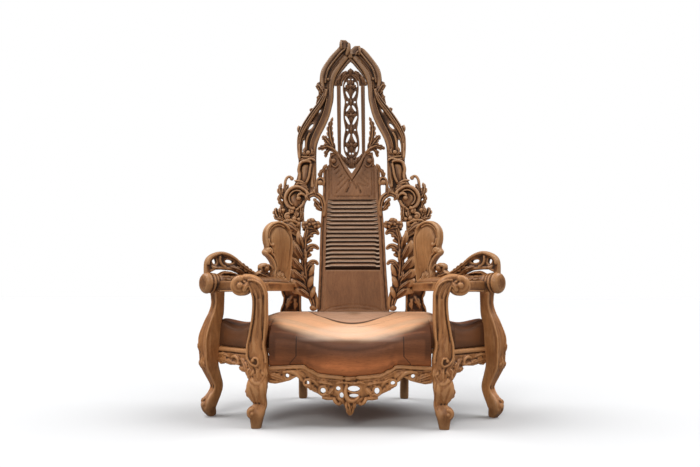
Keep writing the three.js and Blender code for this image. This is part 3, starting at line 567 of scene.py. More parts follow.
def teak(name, pale, dark, worn_and_highlight, turn=(0, 0, 0), streaks=90.0, stretch=14.0, rough=0.46, dirt_and_shade_share=0.85,
         wear_and_highlight_share=0.5, tool_marks=0.5, dirt_and_shade_range=(0.15, 1.6), wear_and_highlight_range=(0.2, 1.3)):
    material = bpy.data.materials.new(name)
    material.use_nodes = True
    tree = material.node_tree
    shader = tree.nodes["Principled BSDF"]
    wood = placed(tree, grain, Turn=turn, Streaks_per_metre=streaks, Stretch=stretch)
    aged_and_lit = placed(tree, age_and_light, Dirt_from=dirt_and_shade_range[0], Dirt_to=dirt_and_shade_range[1], Wear_from=wear_and_highlight_range[0],
                   Wear_to=wear_and_highlight_range[1])
    colour = blended(tree, wood["Figure"], (*dark, 1), (*pale, 1))
    shade = ranged(tree, wood["Patches"], 0, 1, *PATCH_TONES)
    toned = add(tree, "ShaderNodeVectorMath", {0: colour, "Scale": shade}, operation="SCALE").outputs[0]
    pored = blended(tree, maths(tree, "MULTIPLY", wood["Pores"], PORE_SHARE), toned, (*DIRT_AND_SHADE, 1))
    # dirt and painted shade darken the hollows
    dirty_and_shaded = blended(tree, maths(tree, "MULTIPLY", aged_and_lit["Dirt"], dirt_and_shade_share), pored, (*DIRT_AND_SHADE, 1))
    # wear and painted highlights make what stands out paler
    final = blended(tree, maths(tree, "MULTIPLY", aged_and_lit["Wear"], wear_and_highlight_share), dirty_and_shaded, (*worn_and_highlight, 1))
    tree.links.new(final, shader.inputs["Base Color"])
    shader.inputs["Specular IOR Level"].default_value = SHEEN_AT_EDGE
    gloss = ranged(tree, wood["Fibre"], 0.3, 0.7, rough - 0.06, rough + 0.10)
    gloss = maths(tree, "MULTIPLY_ADD", aged_and_lit["Dirt"], 0.22, gloss)
    gloss = maths(tree, "MULTIPLY_ADD", aged_and_lit["Wear"], -0.10, gloss)
    tree.links.new(gloss, shader.inputs["Roughness"])
    own = tree.nodes.new("ShaderNodeTexCoord").outputs["Object"]
    marks = add(tree, "ShaderNodeTexNoise", {"Vector": own, "Scale": 60.0, "Detail": 2.0}).outputs["Fac"]
    height = maths(tree, "MULTIPLY_ADD", marks, tool_marks, maths(tree, "MULTIPLY", wood["Fibre"], 0.35))
    height = maths(tree, "MULTIPLY_ADD", wood["Pores"], -0.25, height)
    bump = add(tree, "ShaderNodeBump", {"Height": height, "Strength": 0.55, "Distance": 0.0016})
    tree.links.new(bump.outputs[0], shader.inputs["Normal"])
    return material


def shaded_by_height(material, low, high, below, above):
    """Paints shade into the wood's colour: its tone changes from one height above the floor to another."""
    tree = material.node_tree
    colour = tree.nodes["Principled BSDF"].inputs["Base Color"]
    own = tree.nodes.new("ShaderNodeTexCoord").outputs["Object"]
    height = add(tree, "ShaderNodeSeparateXYZ", {"Vector": own}).outputs["Z"]
    tone = ranged(tree, height, low, high, below, above, smooth=True)
    toned = add(
        tree, "ShaderNodeVectorMath", {0: colour.links[0].from_socket, "Scale": tone}, operation="SCALE"
    )
    tree.links.new(toned.outputs[0], colour)


# %% [markdown]
# The legs and arms have the warm honey tone of oiled teak. The tall back is darker and browner: painted shade
# for the less light that reaches it, and less wear from fewer hands. The lancet is the darkest. The feet are
# painted darker towards the floor and the arch rails darker as they rise, as shade. Base colours are linear
# values, so they look smaller than the tones seen on screen.

# %% The finishes
honey = teak("honey teak", (0.49, 0.213, 0.074), (0.26, 0.102, 0.033), (0.66, 0.34, 0.15))
# painted shade: the wood darkens towards the floor
shaded_by_height(honey, 0.0, 0.13, 0.62, 1.0)
ARM_TONES = (0.33, 0.140, 0.049), (0.16, 0.062, 0.020), (0.62, 0.32, 0.14)
ARM_GRAIN = {"right": 3 * math.pi / 4, "left": math.pi / 4}
arm_honey = {side: teak(
    f"honey teak along the {side} arm", *ARM_TONES, turn=(0, math.pi / 2, turn)
) for side, turn in ARM_GRAIN.items()}
shaded = teak(
    "shaded teak", (0.27, 0.110, 0.037), (0.11, 0.041, 0.014), (0.58, 0.31, 0.14), dirt_and_shade_share=0.95,
    wear_and_highlight_share=0.6, dirt_and_shade_range=(-0.1, 0.9)
)
rail_wood = teak(
    "arch rail teak", (0.33, 0.141, 0.049), (0.15, 0.058, 0.019), (0.68, 0.38, 0.19), dirt_and_shade_share=0.95,
    wear_and_highlight_share=0.75, dirt_and_shade_range=(0.0, 1.2)
)
# painted shade: the arch rails darken as they rise
shaded_by_height(rail_wood, 1.2, 1.9, 0.92, 0.60)
wing_wood = teak("pale wing teak", (0.51, 0.253, 0.099), (0.33, 0.144, 0.052), (0.72, 0.42, 0.21), rough=0.5)
lancet_wood = teak(
    "dark lancet teak", (0.24, 0.110, 0.048), (0.105, 0.043, 0.018), (0.34, 0.18, 0.09), rough=0.52,
    dirt_and_shade_range=(0.0, 1.2)
)
# painted light on the reeds: the pale wear colour on the reed tops is a painted highlight, and the dark
# grooves are painted shade
reed_wood = teak(
    "reeded teak", (0.20, 0.097, 0.046), (0.12, 0.056, 0.027), (0.80, 0.58, 0.42), turn=(0, math.pi / 2, 0),
    rough=0.40, dirt_and_shade_share=1.0, wear_and_highlight_share=0.95, dirt_and_shade_range=(-0.2, 0.6), wear_and_highlight_range=(1.0, 1.9)
)
panel_wood = teak(
    "plain panel teak", (0.33, 0.157, 0.070), (0.22, 0.097, 0.042), (0.42, 0.22, 0.11), streaks=140.0,
    stretch=9.0, rough=0.5
)

# %% [markdown]
# ## The seat
# The seat is a thick saddle of a few broad boards, shaped as one: two crowns over the hips, a hollow between
# them, and a waterfall lip at the front. A subdivision surface could be pulled into this shape by hand. A
# height formula is surer here, because the frame's own seat follows the same one, so the skin keeps to the
# solid all over. It is drawn slice by slice from side to side, and each slice runs once round the seat.

# %% The seat's shape
SEAT_HALF = 358
LIP, NOTCH_BACK, REAR = -8, 52, 667
WING_START, WING_CORNER, WING_SLOPE = 472, 405, 0.973
REAR_CORNER, REAR_SLOPE = 345, 1.05
UNDERSIDE = SEAT_BOTTOM + 0.5
# the lip's round face: how far it bulges, its share of the rounding, and its share of the height
LIP_FACE = [(8, 0, 0.07), (16, 0, 0.28), (19, 0.2, 0.52), (16, 0.35, 0.72), (8, 0.55, 0.88)]
FRONT_EDGE = [(0, 219), (60, 225), (130, 232), (176, 252), (205, 271), (358, 265)]
MIDDLE_HEIGHTS = [(-15, 358), (60, 377), (150, 396), (300, 419), (450, 450), (600, SEAT_TOP)]
SIDE_HEIGHTS = [(-15, 410), (40, 444), (110, 469), (250, 478), (600, SEAT_TOP)]
WING_DIP = [(385, 0), (540, -46), (650, -20)]


def between(keys, x):
    """The value at x on a list of (x, value) keys, with level turns at the keys."""
    places, values = np.array(keys, float).T
    last = np.clip(np.searchsorted(places, x), 1, len(places) - 1)
    t = np.clip((x - places[last - 1]) / (places[last] - places[last - 1]), 0, 1)
    return values[last - 1] + (values[last] - values[last - 1]) * t * t * (3 - 2 * t)


def seat_height(x, y):
    out = np.minimum(1, np.abs(x) / SEAT_HALF)
    middle, side = between(MIDDLE_HEIGHTS, y), between(SIDE_HEIGHTS, y)
    return middle + (side - middle) * (1 - np.cos(math.pi * out)) / 2 + between(WING_DIP, np.abs(x))


def seat_slice(x):
    """Once round the seat at one place across it, from the back edge down, forwards, up and back."""
    reach = abs(x)
    notched, on_wing = reach > SEAT_HALF + 0.2, reach > WING_START
    front = (reach - WING_CORNER) * WING_SLOPE if on_wing else (NOTCH_BACK if notched else LIP)
    back = REAR - max(0, reach - REAR_CORNER) * REAR_SLOPE
    rounding = 0.13 * (back - front) if on_wing else (12 if notched else 0)
    low = UNDERSIDE if notched else float(between(FRONT_EDGE, reach))
    lip = float(seat_height(x, front + rounding + 14))
    rise = lip - low
    bulge = 0.35 if notched else 1
    face = [(front + 60, low), (front + 10, low)]
    face += [(front - out * bulge + share * rounding, low + up * rise) for out, share, up in LIP_FACE]
    face.append((front + rounding + 14, lip))
    around = flowing(face, 34)
    y = np.linspace(front + rounding + 22, back - 4, 56)
    top = np.stack([y, seat_height(np.full_like(y, x), y)], 1)
    edge = top[-1, 1] - (40 if on_wing else 3)
    under = [(back, UNDERSIDE), (back - 30, UNDERSIDE), (front + 90, UNDERSIDE)]
    ring = np.vstack([[(back, edge), (back, (edge + SEAT_BOTTOM) / 2)], under, around, top])
    return np.column_stack([np.full(len(ring), x), ring])


half = np.concatenate([
    np.arange(0, SEAT_HALF, 5.0), [SEAT_HALF - 0.5, SEAT_HALF + 0.5], np.arange(366, 470, 8.0), [471, 473],
    np.arange(480, 639, 6.0), [640]
])
seat_points, seat_faces = loft([seat_slice(x) for x in np.concatenate([-half[:0:-1], half])])
print("seat:", len(seat_faces), "triangles, front lip at", round(float(seat_height(0, 0))), "mm")

# %% [markdown]
# The seat's wood runs sideways. Its top is pale and pink: partly wear from sitting, and partly painted light
# where the top faces the lamps. A painted highlight lies on the middle of its lip. Below the lip a strip of
# painted shade turns to orange at the foot, where painted light stands for the light bounced up from the
# floor.
# The edge of the pale part is lowest in the middle, so its height grows with the square of the way out.
# Boards meet in thin dark seams:
# one long curve at the back, where a greyer board with a knot is let in, and short ones in front. Seams this
# thin would need a very fine mesh, so they are drawn in the finish, as the distance from a curve. Each seam
# darkens the colour and sinks the bump.

# %% The seat's finish
seat_wood = teak(
    "polished seat teak", (0.51, 0.170, 0.057), (0.36, 0.112, 0.035), (0.60, 0.34, 0.19),
    turn=(0, math.pi / 2, 0), streaks=210.0, stretch=24.0, rough=0.42, dirt_and_shade_share=0.5, wear_and_highlight_share=0.25,
    tool_marks=0.25
)
tree = seat_wood.node_tree
shader = tree.nodes["Principled BSDF"]
own = tree.nodes.new("ShaderNodeTexCoord").outputs["Object"]
x, y, z = add(tree, "ShaderNodeSeparateXYZ", {"Vector": own}).outputs
LIP_Y = LEG_PLANE * MM
# the board let in at the back: where its edge is deepest, and how it curves out to the sides
INSET_DEEPEST, INSET_CURVE, INSET_CORNER = 0.366 + LIP_Y, 2.1, 34.0
REAR_SEAM_Y, REAR_SEAM_CURVE, REAR_SEAM_WAVER = LIP_Y + 0.255, 0.8, 0.05
FRONT_SEAM_X, FRONT_SEAM_CURVE = 0.237, 0.028
# heights on the lip: where the pale part, of wear and painted light, starts and is full, and where the
# painted shade under the lip turns to painted bounce light at the foot
RUBBED_AND_LIT_LOW, RUBBED_AND_LIT_HIGH, RUBBED_AND_LIT_CURVE, RUBBED_AND_LIT_WAVER = 0.360, 0.394, 0.64, 0.022
LIP_SHADE_TOP, BOUNCE_LIT_FOOT = 0.335, 0.235
# tones: painted light on the pale top, painted shade under the lip, painted bounce light at the foot, and the
# back
PALE_LIT_TONE, LIP_SHADE_TONE, BOUNCE_LIGHT_TONE, TOP_TONE = 1.35, 0.44, 1.75, 0.9
# the pale top's colour, and the colour of the painted highlight on the lip
PALE_LIT_TOP, PAINTED_LIP_HIGHLIGHT = (0.84, 0.57, 0.35, 1), (0.95, 0.76, 0.62, 1)
GREY_BOARD, KNOT_BROWN = (0.34, 0.215, 0.165, 1), (0.10, 0.048, 0.03, 1)
# the painted shade on the seat's sides beside the front legs, and the dark seams
SIDE_SHADE_BROWN, SEAM_BROWN = (0.10, 0.040, 0.014, 1), (0.030, 0.014, 0.008, 1)
squared = maths(tree, "MULTIPLY", x, x)
inset_edge = maths(tree, "ADD", INSET_DEEPEST, maths(tree, "MULTIPLY", squared, INSET_CURVE))
inset_edge = maths(tree, "MULTIPLY_ADD", maths(tree, "MULTIPLY", squared, squared), INSET_CORNER, inset_edge)
past_inset = maths(tree, "SUBTRACT", y, inset_edge)
waver = add(tree, "ShaderNodeTexNoise", {"Vector": own, "Scale": 9.0}).outputs["Fac"]
rear_seam_y = maths(tree, "MULTIPLY_ADD", squared, REAR_SEAM_CURVE, REAR_SEAM_Y)
rear_seam_y = maths(tree, "MULTIPLY_ADD", waver, REAR_SEAM_WAVER, rear_seam_y)
rear_seam = maths(tree, "SUBTRACT", y, rear_seam_y)
half_width = maths(tree, "ABSOLUTE", x)
curved_in = maths(tree, "MULTIPLY", ranged(tree, z, 0.31, 0.278), FRONT_SEAM_CURVE)
front_seam = maths(tree, "SUBTRACT", half_width, maths(tree, "ADD", FRONT_SEAM_X, curved_in))


def thin_line(distance, width):
    return ranged(tree, maths(tree, "ABSOLUTE", distance), width, width * 0.3, smooth=True)


def inside(value, low, high, fade=0.004):
    return maths(
        tree, "MULTIPLY", ranged(tree, value, low - fade, low), ranged(tree, value, high + fade, high)
    )


on_face = maths(tree, "MULTIPLY", inside(z, 0.270, 0.392), ranged(tree, y, LIP_Y + 0.03, LIP_Y + 0.02))
on_top = ranged(tree, y, LIP_Y + 0.02, LIP_Y + 0.03)
lines = maths(tree, "MULTIPLY", thin_line(past_inset, 0.017), inside(half_width, -1, 0.25))
lines = maths(tree, "MAXIMUM", lines, maths(
    tree, "MULTIPLY", thin_line(rear_seam, 0.004), inside(x, 0.03, 0.29)
))
lines = maths(tree, "MAXIMUM", lines, maths(tree, "MULTIPLY", thin_line(front_seam, 0.0030), on_face))
inset = maths(tree, "MULTIPLY", ranged(tree, past_inset, 0, 0.002), on_top)
# the pale top: partly wear from sitting, partly painted light from above
over_lip = maths(tree, "MULTIPLY_ADD", squared, -RUBBED_AND_LIT_CURVE, z)
over_lip = maths(
    tree, "MULTIPLY_ADD", waver, RUBBED_AND_LIT_WAVER, maths(tree, "SUBTRACT", over_lip, RUBBED_AND_LIT_WAVER / 2)
)
rubbed_and_lit = ranged(tree, over_lip, RUBBED_AND_LIT_LOW, RUBBED_AND_LIT_HIGH, smooth=True)
# painted shade under the lip, and painted bounce light from the floor lower down
lip_shade_and_bounce_light = ranged(tree, z, LIP_SHADE_TOP, BOUNCE_LIT_FOOT, LIP_SHADE_TONE, BOUNCE_LIGHT_TONE, smooth=True)
tone = maths(tree, "MAXIMUM", maths(tree, "MULTIPLY", rubbed_and_lit, PALE_LIT_TONE), lip_shade_and_bounce_light)
tone = maths(tree, "MAXIMUM", tone, ranged(tree, y, LIP_Y + 0.15, LIP_Y + 0.40, 0, TOP_TONE))
base = add(
    tree, "ShaderNodeVectorMath", {0: shader.inputs["Base Color"].links[0].from_socket, "Scale": tone},
    operation="SCALE"
).outputs[0]
base = blended(tree, maths(tree, "MULTIPLY", rubbed_and_lit, 0.5), base, PALE_LIT_TOP)
KNOT = (0.006, 0.561 + LIP_Y, 0.478)
from_knot = add(tree, "ShaderNodeVectorMath", {0: own, 1: KNOT}, operation="DISTANCE").outputs["Value"]
knot_edge = maths(tree, "MULTIPLY_ADD", waver, 0.03, from_knot)
grey = blended(tree, ranged(tree, knot_edge, 0.075, 0.02, smooth=True), GREY_BOARD, KNOT_BROWN)
inset_colour = blended(tree, 0.55, base, grey)
colour = blended(tree, inset, base, inset_colour)
# a painted highlight on the middle of the lip
lip_highlight = maths(tree, "MULTIPLY", ranged(tree, squared, 0.06, 0.0), inside(z, 0.385, 0.415, 0.015))
colour = blended(tree, maths(tree, "MULTIPLY", lip_highlight, 0.3), colour, PAINTED_LIP_HIGHLIGHT)
# painted shade on the sides of the seat beside the front legs
at_front = ranged(tree, y, LIP_Y + 0.40, LIP_Y + 0.20, 0, 0.6)
in_shade = maths(tree, "MULTIPLY", ranged(tree, half_width, 0.37, 0.41), at_front)
colour = blended(tree, in_shade, colour, SIDE_SHADE_BROWN)
colour = blended(tree, maths(tree, "MULTIPLY", lines, 0.9), colour, SEAM_BROWN)
tree.links.new(colour, shader.inputs["Base Color"])
bump = next(n for n in tree.nodes if n.type == "BUMP")
height = bump.inputs["Height"].links[0].from_socket
tree.links.new(maths(tree, "MULTIPLY_ADD", lines, -1.6, height), bump.inputs["Height"])
piece("seat_saddle", (seat_points, seat_faces), ["seat"], seat_wood)


# %% [markdown]
# ## Cut lines
# A carver finishes with a narrow veiner, a V-shaped chisel that draws lines into the wood: veins, frames,
# and the two lines that follow the seat's edge. In Blender this could be a Draw Sharp brush. Here a line is
# a list of points, and every point of the surface near it that faces the front is pushed back.

# %% Veiner
def incised(surface, lines, width=4.0, depth=3.0, front=-4.0):
    """Cuts lines of x, z points into the front of a surface that is drawn flat."""
    points, faces = surface
    near = np.full(len(points), 1e9)
    for line_points in lines:
        path = flowing(line_points, 5 * len(line_points)) if len(line_points) > 2 else np.array(line_points,
                                                                                                float)
        for (x0, z0), (x1, z1) in zip(path[:-1], path[1:]):
            step = np.array([x1 - x0, z1 - z0])
            offset = points[:, [0, 2]] - (x0, z0)
            share = np.clip(offset @ step / max(step @ step, 1e-9), 0, 1)
            near = np.minimum(near, np.linalg.norm(offset - share[:, None] * step, axis=1))
    points = points.copy()
    cut = np.clip(1 - near / width, 0, 1) * (points[:, 1] < front)
    points[:, 1] += depth * cut
    return points, faces

# %% [markdown]
# ## The front legs
# Each front leg is one stout plank from the floor to the arm. Low down it is a smooth cabriole leg that
# stands on a curled toe. Above the seat it runs straight up, arches outwards and winds into a scroll under
# the arm. The plank is a strand through rows of sizes. Its carving is shallow: a rim that ends in a small
# scroll, a flat leaf on the knee, and long cut lines that follow the edges.

# %% Front leg
LEG_ROWS = [
    (387, 431, -15, 25, 0), (385, 433, -17, 27, 14), (379, 437, -18, 29, 40), (373, 441, -18, 30, 62),
    (369, 434, -12, 27, 80), (366, 421, 0, 25, 97), (367, 430, -4, 27, 118), (365, 446, -12, 33, 142),
    (363, 455, -18, 40, 168), (361, 451, -16, 42, 190), (360, 441, -10, 43, 210), (360, 437, -6, 43, 242),
    (360, 449, -6, 44, 280), (364, 459, -6, 45, 312), (373, 455, -4, 45, 356), (371, 447, 0, 45, 400),
    (368, 436, 0, 44, 466), (369, 431, 0, 44, 520), (370, 432, 0, 43, 560)
]
leg_lower = [((i + o) / 2, y, z, (o - i) / 2, d) for i, o, y, d, z in LEG_ROWS]
PLANK = section(reeds=2, cut=0.07, fullness=3.4, samples=13)
ARCH = [(401, 0, 545, 31, 43), (405, 0, 585, 33, 43), (421, 0, 622, 33, 42), (448, 0, 641, 30, 41),
        (478, 0, 643, 26, 40), (506, 0, 628, 19, 38), (514, 0, 606, 12, 36)]


def beside(rows, share, width):
    """A thin moulding that keeps to one share of a row's width and stands a little proud of its face."""
    sunk, rim_depth = 2.0, 7.0
    return [(x + share * w, y - d + sunk, z, width, rim_depth) for x, y, z, w, d in rows]


front_leg = strand(leg_lower, SQUARISH, steps=110, rounded=False)
front_leg += strand(leg_lower[12:] + ARCH[1:], PLANK, steps=120)
front_leg += lathe([(0, -39), (40, -39), (46, -33), (46, 36), (44, 41), (0, 41)], (487, 0, 620), (0, 1, 0))
for y in (-38, 38):
    front_leg += scroll(487, y, 620, 46, turns=1.05, thick=0.36, depth=9, start=2.1, hand=-1, eye=0.34)
front_leg += leaf([(452, -40, 634), (462, -50, 612), (470, -46, 590)], 12, 8, lobes=2)
# the rim: down the outer edge, and round into a small scroll; a plain one down the inner edge
rim = beside(leg_lower[13:] + ARCH[1:4], 0.88, width=4.5)
front_leg += strand([
    (410, -50, 268, 4, 6), (432, -51, 280, 4.5, 6), (449, -50, 306, 4.5, 6)
] + rim[1:], steps=90)
front_leg += hook([
    (410, -50, 268, 4, 6), (400, -51, 280, 4, 6), (404, -52, 300, 4, 6), (418, -52, 304, 4, 6),
    (424, -52, 294, 4, 6)
], tip=1.2)
front_leg += strand(beside(leg_lower[12:] + ARCH[1:5], -0.86, width=4), steps=80)
# a flat leaf on the knee with two side lobes, over a smooth shank
front_leg += leaves(
    ([(402, -40, 272), (402, -49, 236), (396, -48, 186)], 30, 7, 2),
    ([(426, -40, 266), (438, -44, 238), (430, -45, 200)], 15, 6, 2),
    ([(378, -40, 266), (370, -44, 240), (376, -45, 204)], 12, 6, 1),
    ([(448, -12, 180), (452, -16, 150), (440, -16, 126)], 11, 8, 2))
# the curled toe: a ball with a scroll on it
front_leg += lathe([
    (5, -44), (17, -42), (26, -34), (30, -18), (29, 6), (20, 14)
], (424, 0, 64), (0, 1, 0), 28)
front_leg += scroll(424, -42, 64, 28, turns=1.1, thick=0.30, depth=8, start=1.9, hand=-1, eye=0.34)


def flat_below(points):
    """Sets what would reach under the floor level with it."""
    level = points.copy()
    level[:, 2] = np.maximum(level[:, 2], 0)
    return level


LEG_LINES = [
    [(414, 628), (391, 585), (385, 540), (387, 462), (384, 408), (376, 327), (363, 272)],
    [(428, 616), (408, 580), (404, 530), (404, 462), (408, 400), (404, 340)],
    [(444, 604), (424, 572), (419, 530), (424, 462), (434, 400), (432, 340)],
    [(374, 196), (371, 140), (374, 98), (380, 84)], [(398, 180), (394, 140), (397, 100), (404, 90)],
    [(430, 178), (418, 140), (411, 104)], [(384, 262), (390, 240), (380, 226), (392, 204)],
    [(420, 262), (412, 242), (424, 228), (408, 202)], [(366, 226), (378, 204), (396, 184), (420, 190),
    (444, 214)], [(402, 262), (400, 236), (397, 204)], [(432, 258), (440, 240), (432, 216)]
]
leg_surface = incised(fused(front_leg, voxel=2.8, keep=0.5, cut=flat_below), LEG_LINES, 3.6, 3.4, -12)
pair("front_leg", leg_surface, honey)
print("front leg:", totals["right_front_leg_carved"], "triangles")

# %% [markdown]
# ## The outer legs
# The outer legs stand on the diagonal and carry the arms' knobs. They show a wide face and a narrow one, with
# a sharp edge between them, and bend in an S from a carved toe to the arm. Each face has a line cut along its
# edge, and small leaves break the outline at the knee.

# %% Outer leg
LEG_PLAN = (657, 250)
OUTER_ROWS = [
    (669, 21, 0), (674, 27, 14), (684, 39, 48), (674, 37, 78), (661, 32, 105), (653, 30, 141), (667, 36, 190),
    (682, 43, 241), (684, 47, 296), (684, 52, 371), (672, 43, 444), (660, 36, 490), (655, 31, 536),
    (657, 34, 596)
]
outer_rows = [(x, LEG_PLAN[1] - (x - LEG_PLAN[0]), z, 0.8 * w, 0.8 * w) for x, w, z in OUTER_ROWS]
EDGED = section(reeds=2, cut=0.08, fullness=4.4, samples=13)


def out_from(skins, amount):
    """Moves shapes straight out from the face of the leg."""
    return moved(skins, lambda points: points + amount * OUTWARD)


def on_leg_face(across, height, out=0.0):
    """A point on the outer leg's wide face, some way across it and above the floor."""
    x, y, _, size, _ = flowing(outer_rows, 400)[np.argmin(np.abs(flowing(outer_rows, 400)[:, 2] - height))]
    side = np.array([0.72, 0.69, 0])
    return tuple(np.array([x, y, height]) + across * side + (size + out) * OUTWARD)


outer_leg = strand(outer_rows, EDGED, steps=110, front=OUTWARD, rounded=False)
for share in (-0.80, 0.80):
    edge = [(*on_leg_face(share * w, z, -1), 4, 5) for _, _, z, w, _ in outer_rows[3:]]
    outer_leg += strand(edge, steps=90, front=OUTWARD)
    outer_leg += strand([
        (*on_leg_face(0.62 * share * w, z, -2), 2.5, 4) for _, _, z, w, _ in outer_rows[7:]
    ], steps=70, front=OUTWARD)
outer_leg += leaves(
    ([on_leg_face(26, 356, -4), on_leg_face(30, 332, 2), on_leg_face(30, 300, -4)], 13, 9, 2),
    ([on_leg_face(4, 292, -5), on_leg_face(6, 250, 3), on_leg_face(4, 212, -4)], 20, 9, 4),
    ([on_leg_face(28, 272, -5), on_leg_face(32, 246, 1), on_leg_face(26, 214, -4)], 11, 8, 2),
    front=OUTWARD)
outer_leg += strand([(*on_leg_face(0, z, -4), 4, 7) for z in (206, 170, 130, 96)], front=OUTWARD)
outer_leg += out_from(bead(692, 215, 56, 15), 16)
outer_leg += leaves(
    ([on_leg_face(-4, 92, -4), on_leg_face(14, 74, 2), on_leg_face(24, 40, -4)], 17, 10, 3),
    ([on_leg_face(-10, 60, -4), on_leg_face(-14, 36, 2), on_leg_face(-8, 10, -3)], 13, 8, 2),
    front=OUTWARD)
outer_surface = fused(outer_leg, voxel=3.0, keep=0.5, cut=flat_below)
pair("outer_leg", outer_surface, honey)
print("outer leg:", totals["right_outer_leg_carved"], "triangles")

# %% [markdown]
# ## The arms
# An arm is a thick three-cornered board that ties the front leg, the outer leg and the rear post together.
# Along its outer edge runs a tapering roll that ends in a turned knob with rings, and a long leaf is carved
# back from the knob over the roll. The knob could be spun with the Screw modifier; a lathe skin does the
# same.

# %% Arm
ARM_LOW, ARM_HIGH, ROLL_Z = 592, 636, 634
BOARD_PLAN = [(378, 47), (486, 47), (672, 236), (345, 570), (318, 640)]
UP = np.array([0.0, 0.0, 1.0])
EDGE_OUT = np.array([0.7, -0.7, 0])


def flat_plan(plan, low, high):
    """A level board from its outline seen from above."""
    points, faces = board(plan, low, high)[0]
    return [(points[:, [0, 2, 1]], faces[:, ::-1])]


def line(points, y, width, depth):
    """Rows for a strand through x, z points at one depth."""
    return [(x, y, z, width, depth) for x, z in points]


arm = flat_plan(BOARD_PLAN, ARM_LOW + 3, ARM_HIGH)
# the board's outer edge: a broad round face with a thin lip under it; and an inner edge with a lip on top
arm += strand([
    (x, y, 621, 23, 11) for x, y in ((484, 52), (560, 130), (660, 232))
], section(fullness=2.6), front=EDGE_OUT)
arm += strand([(x, y, ARM_LOW + 3, 4, 6) for x, y in ((486, 46), (560, 120), (640, 200))], front=EDGE_OUT)
arm += strand([
    (x, y, ARM_HIGH - 4, 6, 6) for x, y in ((376, 60), (362, 250), (345, 450), (326, 600))
], front=np.array([-1.0, -0.1, 0]))
knob = [
    (0, -4), (26, -4), (40, -1), (47, 6), (51, 14), (52, 21), (49, 27), (43, 30), (44, 33), (50, 36),
    (51, 41), (49, 46), (43, 49), (43, 51), (48, 54), (49, 58), (47, 63), (42, 66), (42, 69), (46, 72),
    (46, 84)
]
roll = [(45, 84), (44, 120), (42, 180), (41, 240), (38, 350), (33, 450), (26, 500), (0, 506)]
arm_local = lathe([(r, -s) for r, s in knob + roll[1:]], (0, 0, ROLL_Z), (1, 0, 0), 48)
arm_local += leaf([
    (-76, -4, ROLL_Z + 38), (-104, -8, ROLL_Z + 49), (-150, -8, ROLL_Z + 48), (-210, -2, ROLL_Z + 37)
], 30, 10, lobes=4, front=UP)
arm_local += leaf([
    (-76, -26, ROLL_Z + 30), (-105, -36, ROLL_Z + 27), (-150, -36, ROLL_Z + 25), (-185, -32, ROLL_Z + 24)
], 17, 9, lobes=4, front=np.array([0, -0.75, 0.66]))
arm_local += leaf([
    (-76, 26, ROLL_Z + 30), (-105, 36, ROLL_Z + 25), (-160, 33, ROLL_Z + 24)
], 17, 9, lobes=3, front=np.array([0, 0.75, 0.66]))
for turn in np.linspace(0, 2 * math.pi, 9)[:-1] + 0.3:
    side, rise = math.cos(turn), math.sin(turn)
    arm_local += leaf([
        (-2, 14 * side, ROLL_Z + 14 * rise), (1, 26 * side, ROLL_Z + 26 * rise),
        (-8, 41 * side, ROLL_Z + 41 * rise)
    ], 7, 4, lobes=1, front=np.array([1.0, 0, 0]))
arm += moved(arm_local, on_arm)
arm_surface = fused(arm, voxel=2.8, keep=0.4)
piece("right_arm_carved", arm_surface, ["right_arm"], arm_honey["right"])
piece("left_arm_carved", arm_surface, ["left_arm"], arm_honey["left"], mirror=True)
print("arm:", totals["right_arm_carved"], "triangles")

# %% [markdown]
# ## The crest on the arm
# A pierced arch stands on the roll, rises over the knob and falls away to a scroll at the back. Its band has
# a raised rim on both edges. A second branch springs from the middle and leaves two openings between them.

# %% Arm crest
CREST_TOP = [
    (-8, 664), (-6, 721), (-15, 750), (-34, 770), (-61, 783), (-89, 790), (-118, 787), (-147, 778),
    (-182, 759), (-213, 731), (-243, 706), (-268, 694), (-292, 690), (-316, 696), (-330, 708)
]


def shrunk(points, amount):
    """Moves an open line of x, z points sideways, to the right of its direction."""
    points = np.asarray(points, float)
    along = unit(np.gradient(points, axis=0))
    return points + amount * np.stack([along[:, 1], -along[:, 0]], 1)


crest_outline = [
    *map(tuple, flowing(CREST_TOP, 40)), (-392, 690), (-396, 655), (-215, 655), (-200, 682), (-160, 697),
    (-102, 700), (-60, 699), (-34, 688), (-26, 664)
]
crest = board(crest_outline, -12, 12, [oval(-52, 742, 12, 19, -0.55), oval(-138, 742, 25, 8.5, 0.05)])
for y in (-12, 12):
    crest += strand(line(shrunk(CREST_TOP, -9)[1:], y, 9, 8), steps=70)
    crest += strand(line(shrunk(CREST_TOP, -21)[2:-2], 0.7 * y, 3, 7), steps=60)
    crest += strand(line([
        (-30, 692), (-62, 706), (-100, 708), (-160, 704), (-202, 692), (-240, 678), (-300, 674)
    ], y, 7, 6))
    crest += strand(line([(-84, 770), (-82, 746), (-96, 722), (-120, 712)], y, 8, 6))
crest += leaves(
    ([(-176, -12, 752), (-208, -19, 724), (-248, -20, 700), (-298, -13, 686)], 17, 9, 5),
    ([(-140, -12, 716), (-180, -18, 706), (-225, -14, 688)], 13, 8, 3),
    ([(-70, -12, 712), (-52, -17, 708), (-36, -14, 716)], 10, 7, 2))
crest += lathe([(0, -20), (25, -20), (27, -15), (27, 15), (25, 20), (0, 20)], (-352, 0, 714), (0, 1, 0))
for y in (-20, 20):
    crest += scroll(-352, y, 714, 27, turns=1.1, thick=0.32, depth=8, start=0.2, hand=1, eye=0.42)
crest += leaves(
    ([(-372, -8, 735), (-392, -15, 712), (-390, -8, 672)], 15, 11, 3),
    ([(-300, -10, 690), (-336, -17, 678), (-384, -10, 664)], 16, 10, 3))
crest_surface = fused(moved(crest, on_arm), voxel=2.6, keep=0.5)
pair("arm_crest", crest_surface, shaded)
print("arm crest:", totals["right_arm_crest_carved"], "triangles")

# %% [markdown]
# ## The wings
# Where the arm meets the back stands a board shaped like a cartouche. Its field is left plain, which makes
# the wood show, and its edge has a double moulding that ends in a ball. Below the waist the mouldings run
# down like flutes into a shell.

